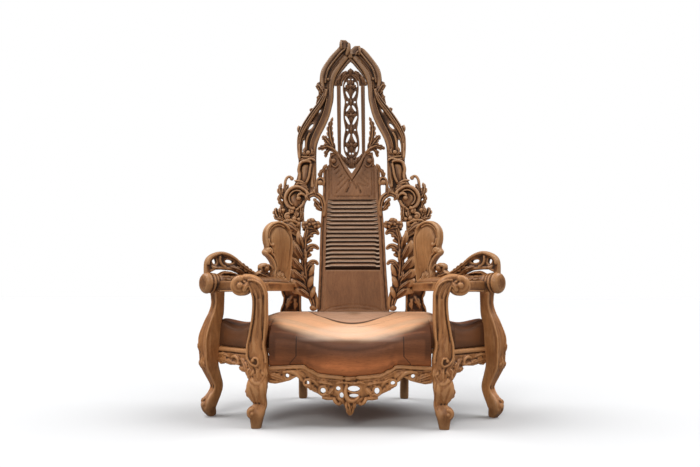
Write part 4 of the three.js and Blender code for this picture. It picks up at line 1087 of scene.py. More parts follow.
# %% Back wing
WING_EDGE = [
    (-412, 647), (-420, 656), (-411, 679), (-417, 711), (-405, 746), (-383, 772), (-362, 786), (-356, 803),
    (-370, 824), (-362, 850), (-358, 880), (-362, 912), (-377, 938), (-400, 957), (-428, 968), (-460, 968),
    (-494, 956), (-522, 934)
]
wing_outline = [*map(tuple, flowing(WING_EDGE, 60)), (-542, 880), (-541, 800), (-534, 720), (-524, 647)]
wing = board(wing_outline, -4, 27)
wing += strand([
    (-466, -3, 690, 38, 5), (-464, -5, 780, 52, 8), (-456, -6, 870, 66, 10), (-452, -3, 936, 44, 6)
], section(fullness=2.4), steps=60)
upper, lower = WING_EDGE[8:], WING_EDGE[:8]
wing += strand(line(shrunk(upper, -7), -5, 7, 10), steps=70)
wing += strand(line(shrunk(upper, -21)[1:-1], -4, 4, 6), steps=60)
wing += strand(line(shrunk(lower[1:], -7), -5, 7, 10), steps=50)
wing += strand(line([(-390, 796), (-416, 780), (-433, 744), (-438, 704), (-436, 672)], -4, 5, 8), steps=40)
wing += strand(line([(-410, 800), (-440, 782), (-456, 744), (-461, 704), (-459, 672)], -4, 4, 6), steps=40)
wing += scroll(-380, -8, 805, 26, turns=1.1, thick=0.34, depth=11, start=-2.2, hand=-1, eye=0.40)
wing += hook([
    (-378, -7, 872, 5, 7), (-380, -9, 852, 5, 7), (-390, -9, 838, 5, 7), (-402, -9, 840, 5, 7)
], tip=1.5)
for turn, reach in ((-1.0, 38), (-0.5, 48), (0.0, 50), (0.5, 48), (1.0, 40)):
    tip = (-452 + reach * math.sin(turn), -6, 650 + reach * math.cos(turn))
    wing += leaf([(-452, -6, 650), ((-452 + tip[0]) / 2, -14, (650 + tip[2]) / 2 + 2), tip], 11, 8, lobes=1)
wing += strand(line([(-412, 660), (-430, 652), (-452, 649), (-474, 652), (-494, 660)], -8, 6, 8))
wing_surface = fused(moved(wing, on_arm), voxel=2.6, keep=0.4)
pair("back_wing", wing_surface, wing_wood)
print("wing:", totals["right_back_wing_carved"], "triangles")

# %% [markdown]
# ## The rear posts
# The rear post is one long timber: a plain splayed leg below the seat, a bracket with hollow sides between
# the seat and the arm, and a straight post behind the wing, with a collar of leaves where the arch rail
# starts.

# %% Rear post
POST_ROWS = [
    (281, 723, 0, 21, 21), (282, 720, 20, 24, 24), (284, 704, 140, 24, 26), (292, 678, 290, 29, 31),
    (312, 660, 400, 40, 32), (333, 652, 445, 53, 32), (345, 650, 482, 60, 32), (340, 650, 520, 52, 31),
    (338, 650, 560, 49, 30), (345, 651, 592, 56, 29), (342, 653, 612, 50, 28), (333, 659, 642, 33, 27),
    (338, 664, 680, 35, 25), (338, 673, 800, 35, 24), (336, 684, 915, 35, 24), (336, 685, 935, 37, 26),
    (337, 690, 985, 39, 30)
]
post = strand(POST_ROWS, section(fullness=3.4, samples=13), steps=130, rounded=False)
post += strand([(x + 0.88 * w, y - 0.86 * d, z, 5, 7) for x, y, z, w, d in POST_ROWS[5:11]], steps=40)
post += strand([(x - 0.88 * w, y - 0.86 * d, z, 5, 7) for x, y, z, w, d in POST_ROWS[5:11]], steps=40)
post += leaves(
    ([(366, 622, 496), (352, 614, 534), (330, 622, 572)], 17, 8, 3),
    ([(320, 622, 492), (318, 614, 530), (332, 622, 560)], 13, 8, 2),
    ([(402, 650, 972), (352, 632, 956), (292, 646, 912)], 23, 13, 3))
post += strand([(400, 654, 980, 6, 8), (372, 640, 988, 8, 9), (330, 640, 984, 8, 9), (296, 656, 964, 6, 8)])
post += strand([(402, 654, 948, 6, 8), (352, 642, 926, 8, 9), (298, 654, 892, 5, 8)])
post += leaf([(392, 654, 936), (372, 640, 900), (366, 652, 852)], 13, 9, lobes=2)
post += leaf([(300, 656, 980), (312, 646, 964), (336, 650, 958)], 12, 9, lobes=1) + bead(384, 650, 978, 12)
post_surface = fused(post, voxel=3.5, keep=0.4, cut=flat_below)
pair("rear_post", post_surface, shaded)
print("rear post:", totals["right_rear_post_carved"], "triangles")

# %% [markdown]
# ## The arch rails
# Two tall rails rise from the shoulders and meet in a point, and they carry the richest carving. From the
# collar up, each has a cluster of beads and leaves, a big C-scroll with a hollow in it, a cup, a long opening
# between an inner band and a winding leaf, and last three smooth mouldings that bend in to the carved tip.
# The left rail laps over the right one, so its tip is higher.

# %% Arch rail, the board and its mouldings
OUTER_EDGE = [
    (398, 986), (404, 1030), (396, 1090), (384, 1130), (352, 1180), (330, 1205), (314, 1250), (307, 1309),
    (309, 1391), (312, 1447), (306, 1505), (284, 1550), (246, 1612), (214, 1668), (190, 1725), (180, 1780),
    (184, 1840), (172, 1905), (128, 1972), (64, 2038)
]
INNER_EDGE = [
    (12, 1950), (60, 1888), (88, 1845), (100, 1798), (104, 1720), (122, 1650), (146, 1580), (178, 1510),
    (200, 1445), (205, 1391), (205, 1300), (206, 1240), (217, 1186), (236, 1146), (262, 1110), (273, 1080),
    (277, 1030), (274, 986)
]
BAND = section(fullness=2.8, samples=13)
ROUND_LINE = section(samples=7)


def rail_board(tip):
    outline = [*map(tuple, flowing(OUTER_EDGE, 80)), (56, tip - 24), (50, tip - 2), (20, tip - 6),
               (-2, tip - 26), (-2, 1962), *map(tuple, flowing(INNER_EDGE, 70))]
    return board(outline, -5, 32, [
        oval(279, 1434, 8, 42, 0.06), oval(236, 1552, 10, 24, 0.62), oval(184, 1648, 5, 15, 0.35)
    ])


def band(rows, y, depth, shape=BAND, steps=90):
    """A moulding through rows of x, z and half width at one depth."""
    return strand([(x, y, z, width, depth) for x, z, width in rows], shape, steps)


BROAD = [
    (224, 1180, 12), (222, 1250, 13), (223, 1320, 15), (226, 1380, 18), (222, 1440, 20), (200, 1500, 22),
    (171, 1560, 23), (147, 1620, 23), (129, 1690, 21), (121, 1760, 19), (117, 1820, 20), (98, 1878, 21),
    (60, 1936, 19), (18, 1988, 17)
]


def edge_of(rows, share):
    """A line that keeps to one share of the width of rows of x, z and half width."""
    x, z, width = np.array(rows, float).T
    along = unit(np.stack([np.gradient(x), np.gradient(z)], 1))
    return np.stack([x + share * width * along[:, 1], z - share * width * along[:, 0]], 1)


def rail_mouldings(tip):
    # the broad inner band, from the cup to the point, with a fine bead along its middle
    skins = band(BROAD, -6, 12, steps=130)
    skins += band([(236, 1390, 4), (232, 1450, 5), (212, 1506, 5), (184, 1564, 5), (160, 1624, 5),
                   (142, 1694, 5), (136, 1764, 4)], -15, 7, ROUND_LINE)
    # the head: a bold outer moulding with a ridge on its inner side, and a flat field between it and the band
    skins += board([(168, 1786), (162, 1850), (142, 1902), (102, 1962), (58, 2012), (30, tip - 34),
                    (6, tip - 40), (6, 1990), (60, 1936), (98, 1878), (117, 1820), (121, 1786)], -12, 10)
    skins += band([
        (166, 1782, 12), (166, 1850, 15), (150, 1905, 16), (112, 1966, 16), (68, 2018, 15), (44, tip - 38, 13)
    ], -9, 14)
    skins += band([
        (148, 1812, 4), (144, 1856, 5), (127, 1905, 5), (89, 1960, 5), (50, 2008, 5), (30, tip - 62, 4)
    ], -19, 8, ROUND_LINE)
    skins += bead(132, -14, 1836, 10)
    skins += band([(6, 1968, 8), (6, 2005, 8), (9, tip - 50, 9)], -6, 14, steps=24)
    # the tip: a squared end, folded once
    skins += board([(-1, tip - 56), (60, tip - 60), (64, tip - 26), (58, tip - 3), (26, tip - 4),
                    (8, tip - 22), (-1, tip - 30)], -21, 20)
    skins += strand([(52, -14, tip - 62, 10, 10), (56, -19, tip - 36, 9, 11), (55, -16, tip - 12, 8, 9)])
    return skins


# %% [markdown]
# The winding leaf springs from the collar, runs up outside the openings and crosses over to the inner band
# just under the head. It is broad and smooth on the outside, and on the inside it breaks into a row of narrow
# fingers. Leaf tips curl off the outer edge of the rail above it.

# %% Arch rail, the winding leaf
GROOVED = section(reeds=2, cut=0.5, fullness=2.6)
WINDING = [
    (299, 1350, 9), (303, 1395, 10), (304, 1440, 11), (298, 1488, 14), (276, 1540, 17), (244, 1594, 18),
    (212, 1642, 18), (180, 1686, 17), (156, 1730, 14), (142, 1776, 9)
]


def curled_tip(x, z, reach, rise, size):
    """A leaf that climbs the outer edge and ends in a tip that turns out level."""
    climbing = [(x - 20, -6, z - 34), (x - 8, -12, z - 6), (x + 0.3 * reach, -10, z + rise)]
    climbing.append((x + reach, -4, z + rise + 3))
    root = [(x - 24, -8, z - 14), (x - 14, -16, z + 4), (x - 4, -12, z + rise - 4)]
    return leaf(climbing, size, 11, lobes=1, sweep=0.8) + leaf(root, 0.6 * size, 9, lobes=2)


def winding_leaf():
    skins = band(WINDING, -16, 15, BAND, steps=120)
    skins += band([(x + 0.55 * w, z + 0.2 * w, 0.28 * w) for x, z, w in WINDING[3:-1]], -26, 7, ROUND_LINE)
    skins += band([(x - 0.15 * w, z, 0.22 * w) for x, z, w in WINDING[2:-1]], -28, 6, ROUND_LINE)
    for x, z, dx, dz in (
        (286, 1494, -20, 42), (270, 1526, -24, 40), (250, 1556, -24, 38), (234, 1590, -26, 38),
        (214, 1620, -26, 36), (196, 1650, -26, 38)
    ):
        skins += leaf([(x, -16, z), (x + 0.35 * dx, -24, z + 0.55 * dz), (x + dx, -13, z + dz)], 7, 8,
                      lobes=1)
    inner = [(258, 1384, 8), (262, 1430, 7), (256, 1476, 7), (240, 1512, 7)]
    skins += band(inner, -9, 9, ROUND_LINE, 40)
    skins += board([
        (206, 1690), (198, 1728), (190, 1748), (192, 1790), (204, 1808), (172, 1806), (148, 1770), (160, 1716)
    ], -11, 12)
    skins += leaf([(150, -10, 1736), (168, -19, 1768), (184, -11, 1806)], 24, 13, lobes=2)
    for spot in ((180, 1776, 18, 24, 25), (190, 1712, 6, 16, 12), (232, 1638, 4, 14, 12)):
        skins += curled_tip(*spot)
    skins += strand([(176, -8, 1770, 6, 10), (190, -12, 1790, 8, 10), (200, -10, 1806, 6, 8)])
    # the bud that stands out beside the upper opening
    skins += lathe([(6, -26), (14, -18), (17, -4), (15, 10), (8, 20)], (300, -2, 1532), (0.25, 0, 1.0), 18)
    skins += leaf([(292, -10, 1508), (304, -18, 1530), (306, -8, 1556)], 11, 8, lobes=1)
    return skins


# %% [markdown]
# Lower down comes the cup: two lips that open round a deep hollow, under a knotted collar. Below it the big
# C-scroll curls over the shoulder, and its end carries a ball. Shoots with round knobs stand out on the
# outside.

# %% Arch rail, the cup, the C-scroll and the shoots
def shoulder_carving():
    skins = []
    # knotted collar and the bud above it
    skins += strand([
        (208, -12, 1340, 8, 11), (232, -20, 1350, 8, 12), (262, -22, 1343, 8, 12), (304, -12, 1352, 8, 11)
    ])
    skins += strand([(210, -10, 1364, 6, 9), (250, -18, 1360, 7, 10), (300, -10, 1368, 6, 9)])
    skins += bead(250, -20, 1388, 13)
    skins += leaves(
        ([(246, -16, 1366), (228, -20, 1392), (234, -10, 1424)], 12, 9, 2),
        ([(254, -16, 1366), (272, -20, 1392), (266, -10, 1428)], 11, 9, 2))
    # the ground of the cup and of the C-scroll, raised so that neither is a deep hole
    skins += strand([
        (262, -4, 1322, 22, 10), (262, -7, 1280, 26, 12), (266, -7, 1236, 24, 12), (280, -4, 1196, 20, 9)
    ], BAND)
    skins += strand([(300, -4, 1070, 20, 10), (318, -7, 1104, 34, 12), (330, -5, 1146, 26, 10)], BAND)
    # the cup's two lips
    skins += strand([
        (236, -14, 1328, 8, 12), (240, -20, 1334, 8, 13), (266, -24, 1337, 9, 14), (292, -20, 1326, 9, 14),
        (303, -16, 1290, 10, 14), (298, -14, 1245, 9, 12), (308, -12, 1205, 8, 10), (338, -10, 1182, 7, 9)
    ], steps=60)
    skins += strand([
        (232, -14, 1326, 7, 12), (238, -16, 1290, 8, 13), (246, -14, 1245, 8, 12), (262, -12, 1208, 7, 10)
    ])
    skins += strand([(268, -6, 1320, 6, 6), (282, -8, 1280, 6, 7), (274, -8, 1236, 5, 6)])
    for start, reach in (((258, 1200), (332, 1224)), ((254, 1186), (322, 1208)), ((248, 1168), (304, 1196))):
        middle = ((start[0] + reach[0]) / 2, (start[1] + reach[1]) / 2 + 8)
        skins += strand([(start[0], -10, start[1], 5, 8), (middle[0], -17, middle[1], 7, 10),
                         (reach[0], -8, reach[1], 4, 8)])
    # the C-scroll over the shoulder, its inner lip, its hollow and its ball
    outer = [(250, 1138), (262, 1162), (290, 1182), (322, 1186), (354, 1172), (374, 1144), (378, 1112),
             (366, 1080), (344, 1062), (322, 1062)]
    skins += strand(line(outer, -16, 11, 15), steps=80)
    inner = [(276, 1150), (300, 1164), (328, 1164), (350, 1146), (358, 1120), (350, 1094), (334, 1080)]
    skins += strand(line(inner, -12, 5, 10), steps=50)
    skins += hook([(254, -12, 1116, 8, 9), (266, -15, 1136, 8, 11), (288, -18, 1146, 9, 12),
                   (306, -18, 1136, 8, 11), (304, -16, 1120, 7, 10)], tip=1.4)
    skins += scroll(342, -18, 1046, 21, turns=1.0, thick=0.38, depth=11, start=1.2, hand=-1, eye=0.42)
    skins += strand([
        (270, -10, 1108, 8, 10), (284, -13, 1080, 8, 11), (302, -13, 1062, 7, 10), (322, -13, 1050, 6, 9)
    ])
    skins += leaf([(298, -8, 1096), (292, -14, 1060), (288, -8, 1010)], 15, 8, lobes=3)
    # shoots outside the C-scroll
    skins += hook([
        (386, -2, 1096, 11, 11), (385, -4, 1140, 10, 11), (384, -4, 1190, 9, 10), (381, -4, 1224, 8, 10),
        (370, -4, 1245, 8, 10), (354, -4, 1248, 8, 10), (345, -4, 1238, 8, 9)
    ], steps=50, tip=1.4)
    skins += leaves(
        ([(386, -4, 1112), (404, -12, 1142), (412, -9, 1178), (406, -2, 1212)], 19, 12, 3),
        ([(386, -6, 1150), (374, -12, 1180), (364, -6, 1204)], 12, 10, 2),
        ([(392, -4, 1078), (412, -11, 1104), (420, -4, 1140)], 15, 11, 2))
    # the cluster on the collar: beads between leaves
    skins += scroll(364, -20, 1014, 27, turns=1.1, thick=0.36, depth=12, start=2.4, hand=-1, eye=0.42)
    skins += leaves(
        ([(394, -4, 990), (420, -14, 1012), (434, -10, 1040), (434, -2, 1068)], 22, 13, 4),
        ([(380, -10, 990), (410, -20, 1002), (443, -12, 1004)], 15, 10, 3),
        ([(392, -10, 1010), (404, -20, 1046), (398, -8, 1088)], 17, 12, 3),
        ([(338, -12, 996), (318, -22, 1022), (322, -12, 1056)], 15, 11, 3),
        ([(302, -8, 988), (288, -17, 1024), (298, -8, 1070)], 17, 11, 3))
    skins += bead(326, -22, 1002, 13) + bead(302, -20, 998, 10) + bead(390, -20, 1050, 11) + bead(346, -22,
                                                                                                  992, 10)
    return skins


RAIL_LINES = [
    edge_of(WINDING, 1.0), edge_of(WINDING, -1.05), edge_of(WINDING[1:], 0.3), edge_of(WINDING[2:-1], -0.35),
    edge_of(BROAD[1:], -1.0), edge_of(BROAD[3:-1], 0.55), [(150, 1800), (146, 1852), (128, 1898), (90, 1952),
    (50, 2000)], [(176, 1750), (182, 1776), (194, 1796)], [(168, 1744), (172, 1776),
    (178, 1802)], [(312, 1330), (310, 1290), (308, 1250)], [(216, 1330), (214, 1270),
    (218, 1210)], [(416, 1012), (424, 1036), (428, 1060)], [(400, 1110), (406, 1140),
    (404, 1180)], [(302, 1010), (296, 1040), (300, 1064)], [(400, 1030), (402, 1056), (398, 1080)]
]


def arch_rail(tip, lapping=()):
    skins = rail_board(tip) + rail_mouldings(tip) + winding_leaf() + shoulder_carving() + list(lapping)
    return incised(fused(skins, voxel=2.5, keep=0.5), RAIL_LINES, 3.4, 4.5, -6)


RIGHT_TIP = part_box("right_arch_rail")[1].z / MM
LEFT_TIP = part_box("left_arch_rail")[1].z / MM
lap = strand([(24, -14, 1984, 10, 8), (10, -22, 2022, 11, 9), (6, -20, LEFT_TIP - 22, 8, 8)])
pair("arch_rail", arch_rail(RIGHT_TIP), rail_wood, place=upright,
     left=arch_rail(LEFT_TIP, lap))
print("arch rail:", totals["right_arch_rail_carved"], "triangles, tips at", round(RIGHT_TIP), round(LEFT_TIP),
      "mm")

# %% [markdown]
# ## The front apron
# Under the seat's lip hangs a pierced board. Two cut lines follow the serpentine edge of the seat and leave
# a smooth band between them, notched twice in the middle. Below it low leaf work runs round small openings,
# and is drawn in to a pendant. The relief is shallow, as a carver leaves it where knees and feet pass. Both
# halves share one drawing, and only the middle is different.

# %% Front apron
APRON_FOOT = [
    (361, 191), (331, 187), (300, 193), (265, 202), (238, 217), (220, 213), (207, 192), (202, 177),
    (180, 170), (167, 157), (145, 147), (123, 134), (123, 122), (100, 117), (62, 118), (61, 101), (47, 92),
    (31, 102), (19, 88), (17, 66), (6, 52)
]
BAND_DROP = 20


def seat_edge(start, end, drop, count=14):
    """Points along the serpentine lower edge of the seat's face, some way below it."""
    return [(x, float(between(FRONT_EDGE, abs(x))) - drop) for x in np.linspace(start, end, count)]


def ring(x, z, half_width, half_height):
    """A raised rim round an opening."""
    around = oval(x, z, half_width, half_height, count=16)
    return strand(line([*around, around[0]], -7, 5, 5), steps=40, rounded=False)


apron = board(
    seat_edge(361, -361, 1, 60)[::-1] + APRON_FOOT + [(-x, z) for x, z in APRON_FOOT[::-1]], -7, 19,
    [oval(-278, 222, 9, 9), oval(278, 222, 9, 9), oval(-189, 192, 10, 9), oval(189, 192, 10, 9),
    oval(-119, 158, 12, 12), oval(119, 158, 11, 15), oval(-52, 167, 10, 10), oval(17, 166, 27, 13),
    oval(-37, 138, 9, 13), oval(18, 136, 22, 9)]
)
apron += board(seat_edge(361, -361, 1, 60) + seat_edge(-361, 361, BAND_DROP + 4, 60), -11, 5)

leafwork = leaf([(354, -7, 226), (326, -10, 218), (292, -8, 204)], 17, 7, lobes=3)
leafwork += leaf([(356, -6, 202), (334, -9, 198), (306, -7, 196)], 9, 6, lobes=2)
leafwork += strand([
    (300, -7, 236, 4, 5), (272, -9, 241, 8, 7), (246, -10, 236, 10, 7), (222, -9, 218, 9, 7),
    (210, -8, 198, 6, 6)
])
leafwork += leaves(
    ([(236, -7, 246), (212, -10, 226), (196, -7, 210)], 9, 6, 1),
    ([(200, -6, 184), (176, -10, 174), (140, -8, 152)], 12, 7, 3),
    ([(182, -7, 212), (158, -10, 200), (140, -7, 180)], 11, 6, 2))
leafwork += ring(119, 158, 17, 19) + ring(189, 192, 15, 14)
leafwork += leaves(
    ([(140, -7, 196), (112, -10, 192), (78, -8, 184)], 11, 6, 3),
    ([(110, -7, 140), (92, -11, 146), (72, -8, 168)], 12, 7, 2),
    ([(120, -6, 128), (98, -10, 128), (70, -7, 122)], 9, 6, 3))
leafwork += hook([
    (74, -8, 128, 6, 7), (64, -10, 112, 8, 8), (52, -9, 102, 6, 7), (44, -8, 104, 4, 5)
], tip=1.3)
leafwork += leaf([(28, -7, 104), (36, -11, 116), (52, -8, 126)], 9, 7, lobes=1)
apron += leafwork + other_side(leafwork)
apron += strand([
    (-12, -8, 186, 7, 6), (-18, -12, 164, 8, 9), (-17, -15, 140, 9, 11), (-6, -16, 121, 10, 12),
    (14, -15, 116, 9, 11), (30, -12, 124, 7, 9), (40, -10, 136, 5, 7)
])
apron += strand([(-8, -10, 160, 5, 7), (10, -10, 151, 4, 6), (36, -9, 150, 4, 5)])
apron += leaves(
    ([(-10, -10, 122), (-2, -17, 90), (3, -8, 52)], 21, 12, 2),
    ([(12, -12, 118), (18, -18, 98), (8, -12, 70)], 10, 9, 1),
    ([(-16, -12, 112), (-14, -18, 92), (-4, -12, 70)], 8, 8, 1),
    ([(-60, -7, 190), (-20, -10, 196), (20, -8, 186)], 10, 6, 3),
    ([(64, -7, 188), (40, -10, 196), (10, -8, 188)], 9, 6, 2))

SIDE_VEINS = [
    [(352, 222), (326, 214), (300, 205)], [(352, 238), (326, 236), (304, 226)],
    [(262, 222), (244, 224), (226, 208)], [(350, 206), (330, 204), (312, 198)],
    [(196, 174), (174, 172), (150, 158)], [(170, 194), (156, 186), (146, 172)],
    [(204, 214), (180, 214), (150, 204)], [(128, 186), (100, 184), (74, 174)],
    [(102, 150), (90, 140), (66, 132)], [(60, 122), (54, 112), (50, 100)]
]
veins = [[(side * x, z) for x, z in vein] for side in (1, -1) for vein in SIDE_VEINS]
veins += [[(-8, 108), (-4, 84), (2, 62)], [(8, 104), (12, 90), (8, 74)], [(-2, 128), (12, 126), (26, 132)]]
apron_surface = incised(fused(apron, voxel=2.4, keep=0.5), veins, 3.2, 3.0, -5)
notch_z = float(between(FRONT_EDGE, 0))
band_lines = [seat_edge(-356, 356, 3, 40), seat_edge(-356, 356, BAND_DROP, 40)]
apron_surface = incised(apron_surface, band_lines, 4.2, 6.0, -4)
apron_surface = incised(apron_surface, [
    [(x, notch_z + 2), (x, notch_z - BAND_DROP)] for x in (-25, 27)
], 7, 7.0, -4)
piece("front_apron_carved", apron_surface, ["front_apron"], honey)
print("front apron:", totals["front_apron_carved"], "triangles")

# %% [markdown]
# ## Wing aprons and plain rails
# From the front leg to the outer leg runs a shorter carved board, set square to the diagonal it spans. The
# rails at the sides and the back are only sawn to a shallow arch, because nobody sees them.

# %% Wing aprons and rails
WING_FOOT = [
    (52, 205), (66, 196), (78, 206), (92, 226), (123, 229), (148, 240), (141, 257), (165, 262), (181, 253),
    (225, 249), (266, 253), (284, 259), (308, 245), (347, 262)
]
UNDER_SEAT = SEAT_BOTTOM - 1


def spanning(start, end):
    """A place for a board drawn flat, so that it runs from one plan point to another."""
    along = unit(np.array(end, float) - start)

    def place(points):
        x, y, z = points.T
        return np.stack([
            start[0] + x * along[0] - y * along[1], start[1] + x * along[1] + y * along[0], z
        ], 1)

    return place


wing_apron = board([(52, UNDER_SEAT), *WING_FOOT, (347, UNDER_SEAT)], -7, 17)
wing_apron += strand([(54, -7, 322, 9, 5), (200, -7, 320, 9, 5), (345, -7, 318, 9, 5)], steps=30)
wing_apron += leaves(
    ([(340, -7, 268), (286, -12, 272), (222, -12, 264), (160, -8, 256)], 14, 8, 4),
    ([(330, -7, 290), (288, -11, 296), (236, -8, 288)], 10, 7, 3),
    ([(64, -7, 202), (78, -13, 238), (100, -12, 266), (136, -8, 286)], 17, 9, 3),
    ([(58, -7, 240), (62, -11, 266), (82, -8, 296)], 10, 7, 2))
wing_apron += hook([
    (210, -8, 286, 5, 6), (176, -11, 294, 8, 8), (150, -11, 284, 8, 8), (144, -11, 264, 6, 7)
], tip=1.4)
wing_apron += leaf([(96, -7, 234), (122, -11, 240), (148, -7, 246)], 11, 7, lobes=2)
wing_apron = fused(wing_apron, voxel=2.6, keep=0.5)
wing_apron = incised(wing_apron, [[(54, 309), (345, 305)], [(54, 333), (345, 331)]], 4.0, 5.0, -4)
wing_apron = incised(wing_apron, [
    [(336, 266), (286, 271), (222, 263), (172, 257)], [(68, 210), (80, 238), (100, 264), (128, 282)],
    [(320, 290), (288, 294), (250, 289)], [(104, 236), (122, 240), (140, 245)]
], 3.2, 3.0, -5)
pair("wing_apron", moved([wing_apron], spanning((405, 0), (657, 250)))[0], honey)


def sawn_rail(start, end, first, last, lowest):
    """A plain rail with an arched lower edge, kept to a part of the line between two plan points."""
    length = math.dist(start, end)
    foot = [(length * t, lowest + 16 * math.sin(math.pi * t)) for t in np.linspace(first, last, 16)]
    skins = board([*foot, (length * last, UNDER_SEAT), (length * first, UNDER_SEAT)], -11, 11)
    return fused(moved(skins, spanning(start, end)), voxel=5, rounds=2, keep=0.3)


pair("side_rail", sawn_rail((330, 630), (672, 262), 0.06, 0.95, 253), honey)
piece("rear_rail_carved", sawn_rail((-290, 652), (290, 652), 0.04, 0.96, 253), ["rear_rail"],
      honey)
print("wing apron:", totals["right_wing_apron_carved"], "triangles; rails:", totals["rear_rail_carved"])

# %% [markdown]
# ## The splat
# The middle of the back is a frame of two stiles. It holds a plain board at its foot, a board cut into
# seventeen rounded reeds, and an engraved board at its head with a V-shaped top. The reeds are the one part
# where a clean repeat is right, and so they are swept straight across, with only a slight unevenness.

# %% Stiles, lower board and reeds
REED_COUNT, REED_LOW, REED_HIGH = 17, 711, 1114
STILE = [(199, 483), (187, 708), (180, 949), (166, 1145), (162, 1291), (136, 1292), (137.5, 1114),
         (147.5, 949), (153, 708), (162.5, 483)]
stile = board(STILE, -12, 15)
stile += strand([
    (194, -12, 486, 5, 5), (183, -12, 708, 5, 5), (175, -12, 949, 5, 5), (162, -12, 1145, 4, 5),
    (158, -12, 1288, 4, 5)
], steps=60)
STILE_LINES = [
    [(183, 490), (173, 708), (166, 949), (154, 1114), (150, 1285)],
    [(170, 490), (159, 708), (153, 949), (143, 1114), (141, 1285)]
]
stile_surface = incised(fused(stile, voxel=2.8, keep=0.5), STILE_LINES, 3.4, 2.4, -8)
pair("splat_stile", stile_surface, panel_wood, place=upright)

foot_arcs = [[
    (-158, 486), (-110, 506), (0, 516), (110, 506), (158, 486)
], [(-100, 492), (0, 500), (100, 492)]]
lower = fused(board([(-166, 481), (166, 481), (157.5, 712), (-157.5, 712)], -8, 9), voxel=3, keep=0.4)
piece("splat_lower_panel_carved", incised(lower, foot_arcs, 4.5, 3.0), ["splat_lower_panel"],
      panel_wood, place=upright)

# Across one reed, from its groove up: the share of the pitch and how far the wood stands out to the front.
REED_SHAPE = [
    (0.02, 3), (0.14, 3.5), (0.34, 2.5), (0.46, -2), (0.54, -7), (0.64, -10), (0.74, -11), (0.84, -10.5),
    (0.92, -7.5), (0.98, -2)
]


def reed_ring(x_share):
    """The section of the reeded board at one place across it, from the back edge round over all reeds."""
    pitch = (REED_HIGH - REED_LOW) / REED_COUNT
    rows = [(9, REED_LOW + 1)]
    for reed in range(REED_COUNT):
        wobble = 0.25 * math.sin(2.1 * reed + 3 * x_share) + 0.1 * math.sin(4.7 * reed + 7 * x_share)
        rows += [(rise, REED_LOW + (reed + share) * pitch + wobble) for share, rise in REED_SHAPE]
    rows.append((9, REED_HIGH - 1))
    y, z = np.array(rows).T
    half_width = 157 - 15 * (z - REED_LOW) / (REED_HIGH - REED_LOW)
    return np.stack([x_share * half_width, y, z], 1)


reeds = loft([reed_ring(share) for share in np.linspace(-1, 1, 49)])
piece("splat_reeds_carved", reeds, ["splat_reeds"], reed_wood, place=upright)
print("splat:", totals["right_splat_stile_carved"], "and", totals["splat_reeds_carved"], "triangles")

# %% [markdown]
# Two flat bands cross on the head board like a folded cloth, with a cut frame and fans of cut rays behind
# them. At each shoulder a volute carries the end of a leaf spray.

# %% Head board
HEAD_HALF = [
    (140.5, 1113), (140.5, 1292), (147, 1293), (140, 1312), (127, 1322), (124, 1391), (80, 1393), (62, 1362),
    (0, 1266)
]
head_board = board(HEAD_HALF + [(-x, z) for x, z in HEAD_HALF[-2::-1]], -7, 11)
for side in (1, -1):
    fold = [(94, 1390), (68, 1352), (39, 1289), (2, 1228), (-6, 1250), (0, 1266), (62, 1362), (78, 1390)]
    head_board += board([(side * x, z) for x, z in fold][::side], -11.5 - 0.8 * side, 4)
    head_board += strand([
        (side * x, -7, z, 5, 8) for x, z in ((122, 1302), (126, 1340), (117, 1372), (96, 1378))
    ])
    head_board += strand([
        (side * x, -7, z, 5, 7) for x, z in ((122, 1362), (112, 1318), (92, 1306), (76, 1322))
    ])
    head_board += bead(side * 104, -11, 1340, 15)
BAND_LINES = [
    [(-73, 1356), (-39, 1289), (-1, 1228)], [(73, 1356), (51, 1300), (3, 1228)],
    [(1, 1228), (16, 1199), (30, 1173)], [(-12, 1228), (-22, 1190), (-34, 1156)],
    [(-5, 1212), (-11, 1187), (-28, 1154)], [(30, 1200), (44, 1173), (52, 1152)]
]
RAY_LINES = [
    [(-18, 1230), (-63, 1180), (-91, 1149)], [(-34, 1246), (-56, 1222), (-82, 1194)],
    [(-49, 1262), (-74, 1238)], [(44, 1249), (70, 1218), (98, 1197)], [(37, 1209), (62, 1194), (92, 1188)],
    [(58, 1266), (84, 1240), (104, 1226)], [(74, 1290), (96, 1268)], [(-64, 1290), (-92, 1262)],
    [(-78, 1306), (-100, 1288)]
]
FRAME_LINES = [
    [(-104, 1131), (104, 1131)], [(-117, 1140), (-116, 1288)], [(117, 1140), (116, 1288)],
    [(-130, 1122), (-129, 1288)], [(130, 1122), (129, 1288)]
]
head_surface = fused(head_board, voxel=2.2, keep=0.5)
head_surface = incised(head_surface, BAND_LINES, 4.4, 5.0, -5)
head_surface = incised(head_surface, RAY_LINES + FRAME_LINES, 3.8, 3.6, -5)
piece("splat_top_panel_carved", head_surface, ["splat_top_panel"], panel_wood, place=upright)
print("head board:", totals["splat_top_panel_carved"], "triangles")

# %% [markdown]
# ## The lancet window
# Above the splat stands a tall narrow window: two reeded bars under a pointed head. A strip of three linked
# ovals hangs free in the opening. Each oval holds an open flower, and a small cross ties it to the next.

# %% Bars and head
BAR = section(reeds=2, cut=0.55, fullness=3.6, samples=17)
bar = strand([
    (69.5, 0, 1361, 9.5, 10), (70.5, 0, 1560, 11, 10), (71, 0, 1799, 12, 10)
], BAR, steps=60, rounded=False)
pair("lancet_bar", fused(bar, voxel=2.0, rounds=2, keep=0.4), lancet_wood, place=upright)

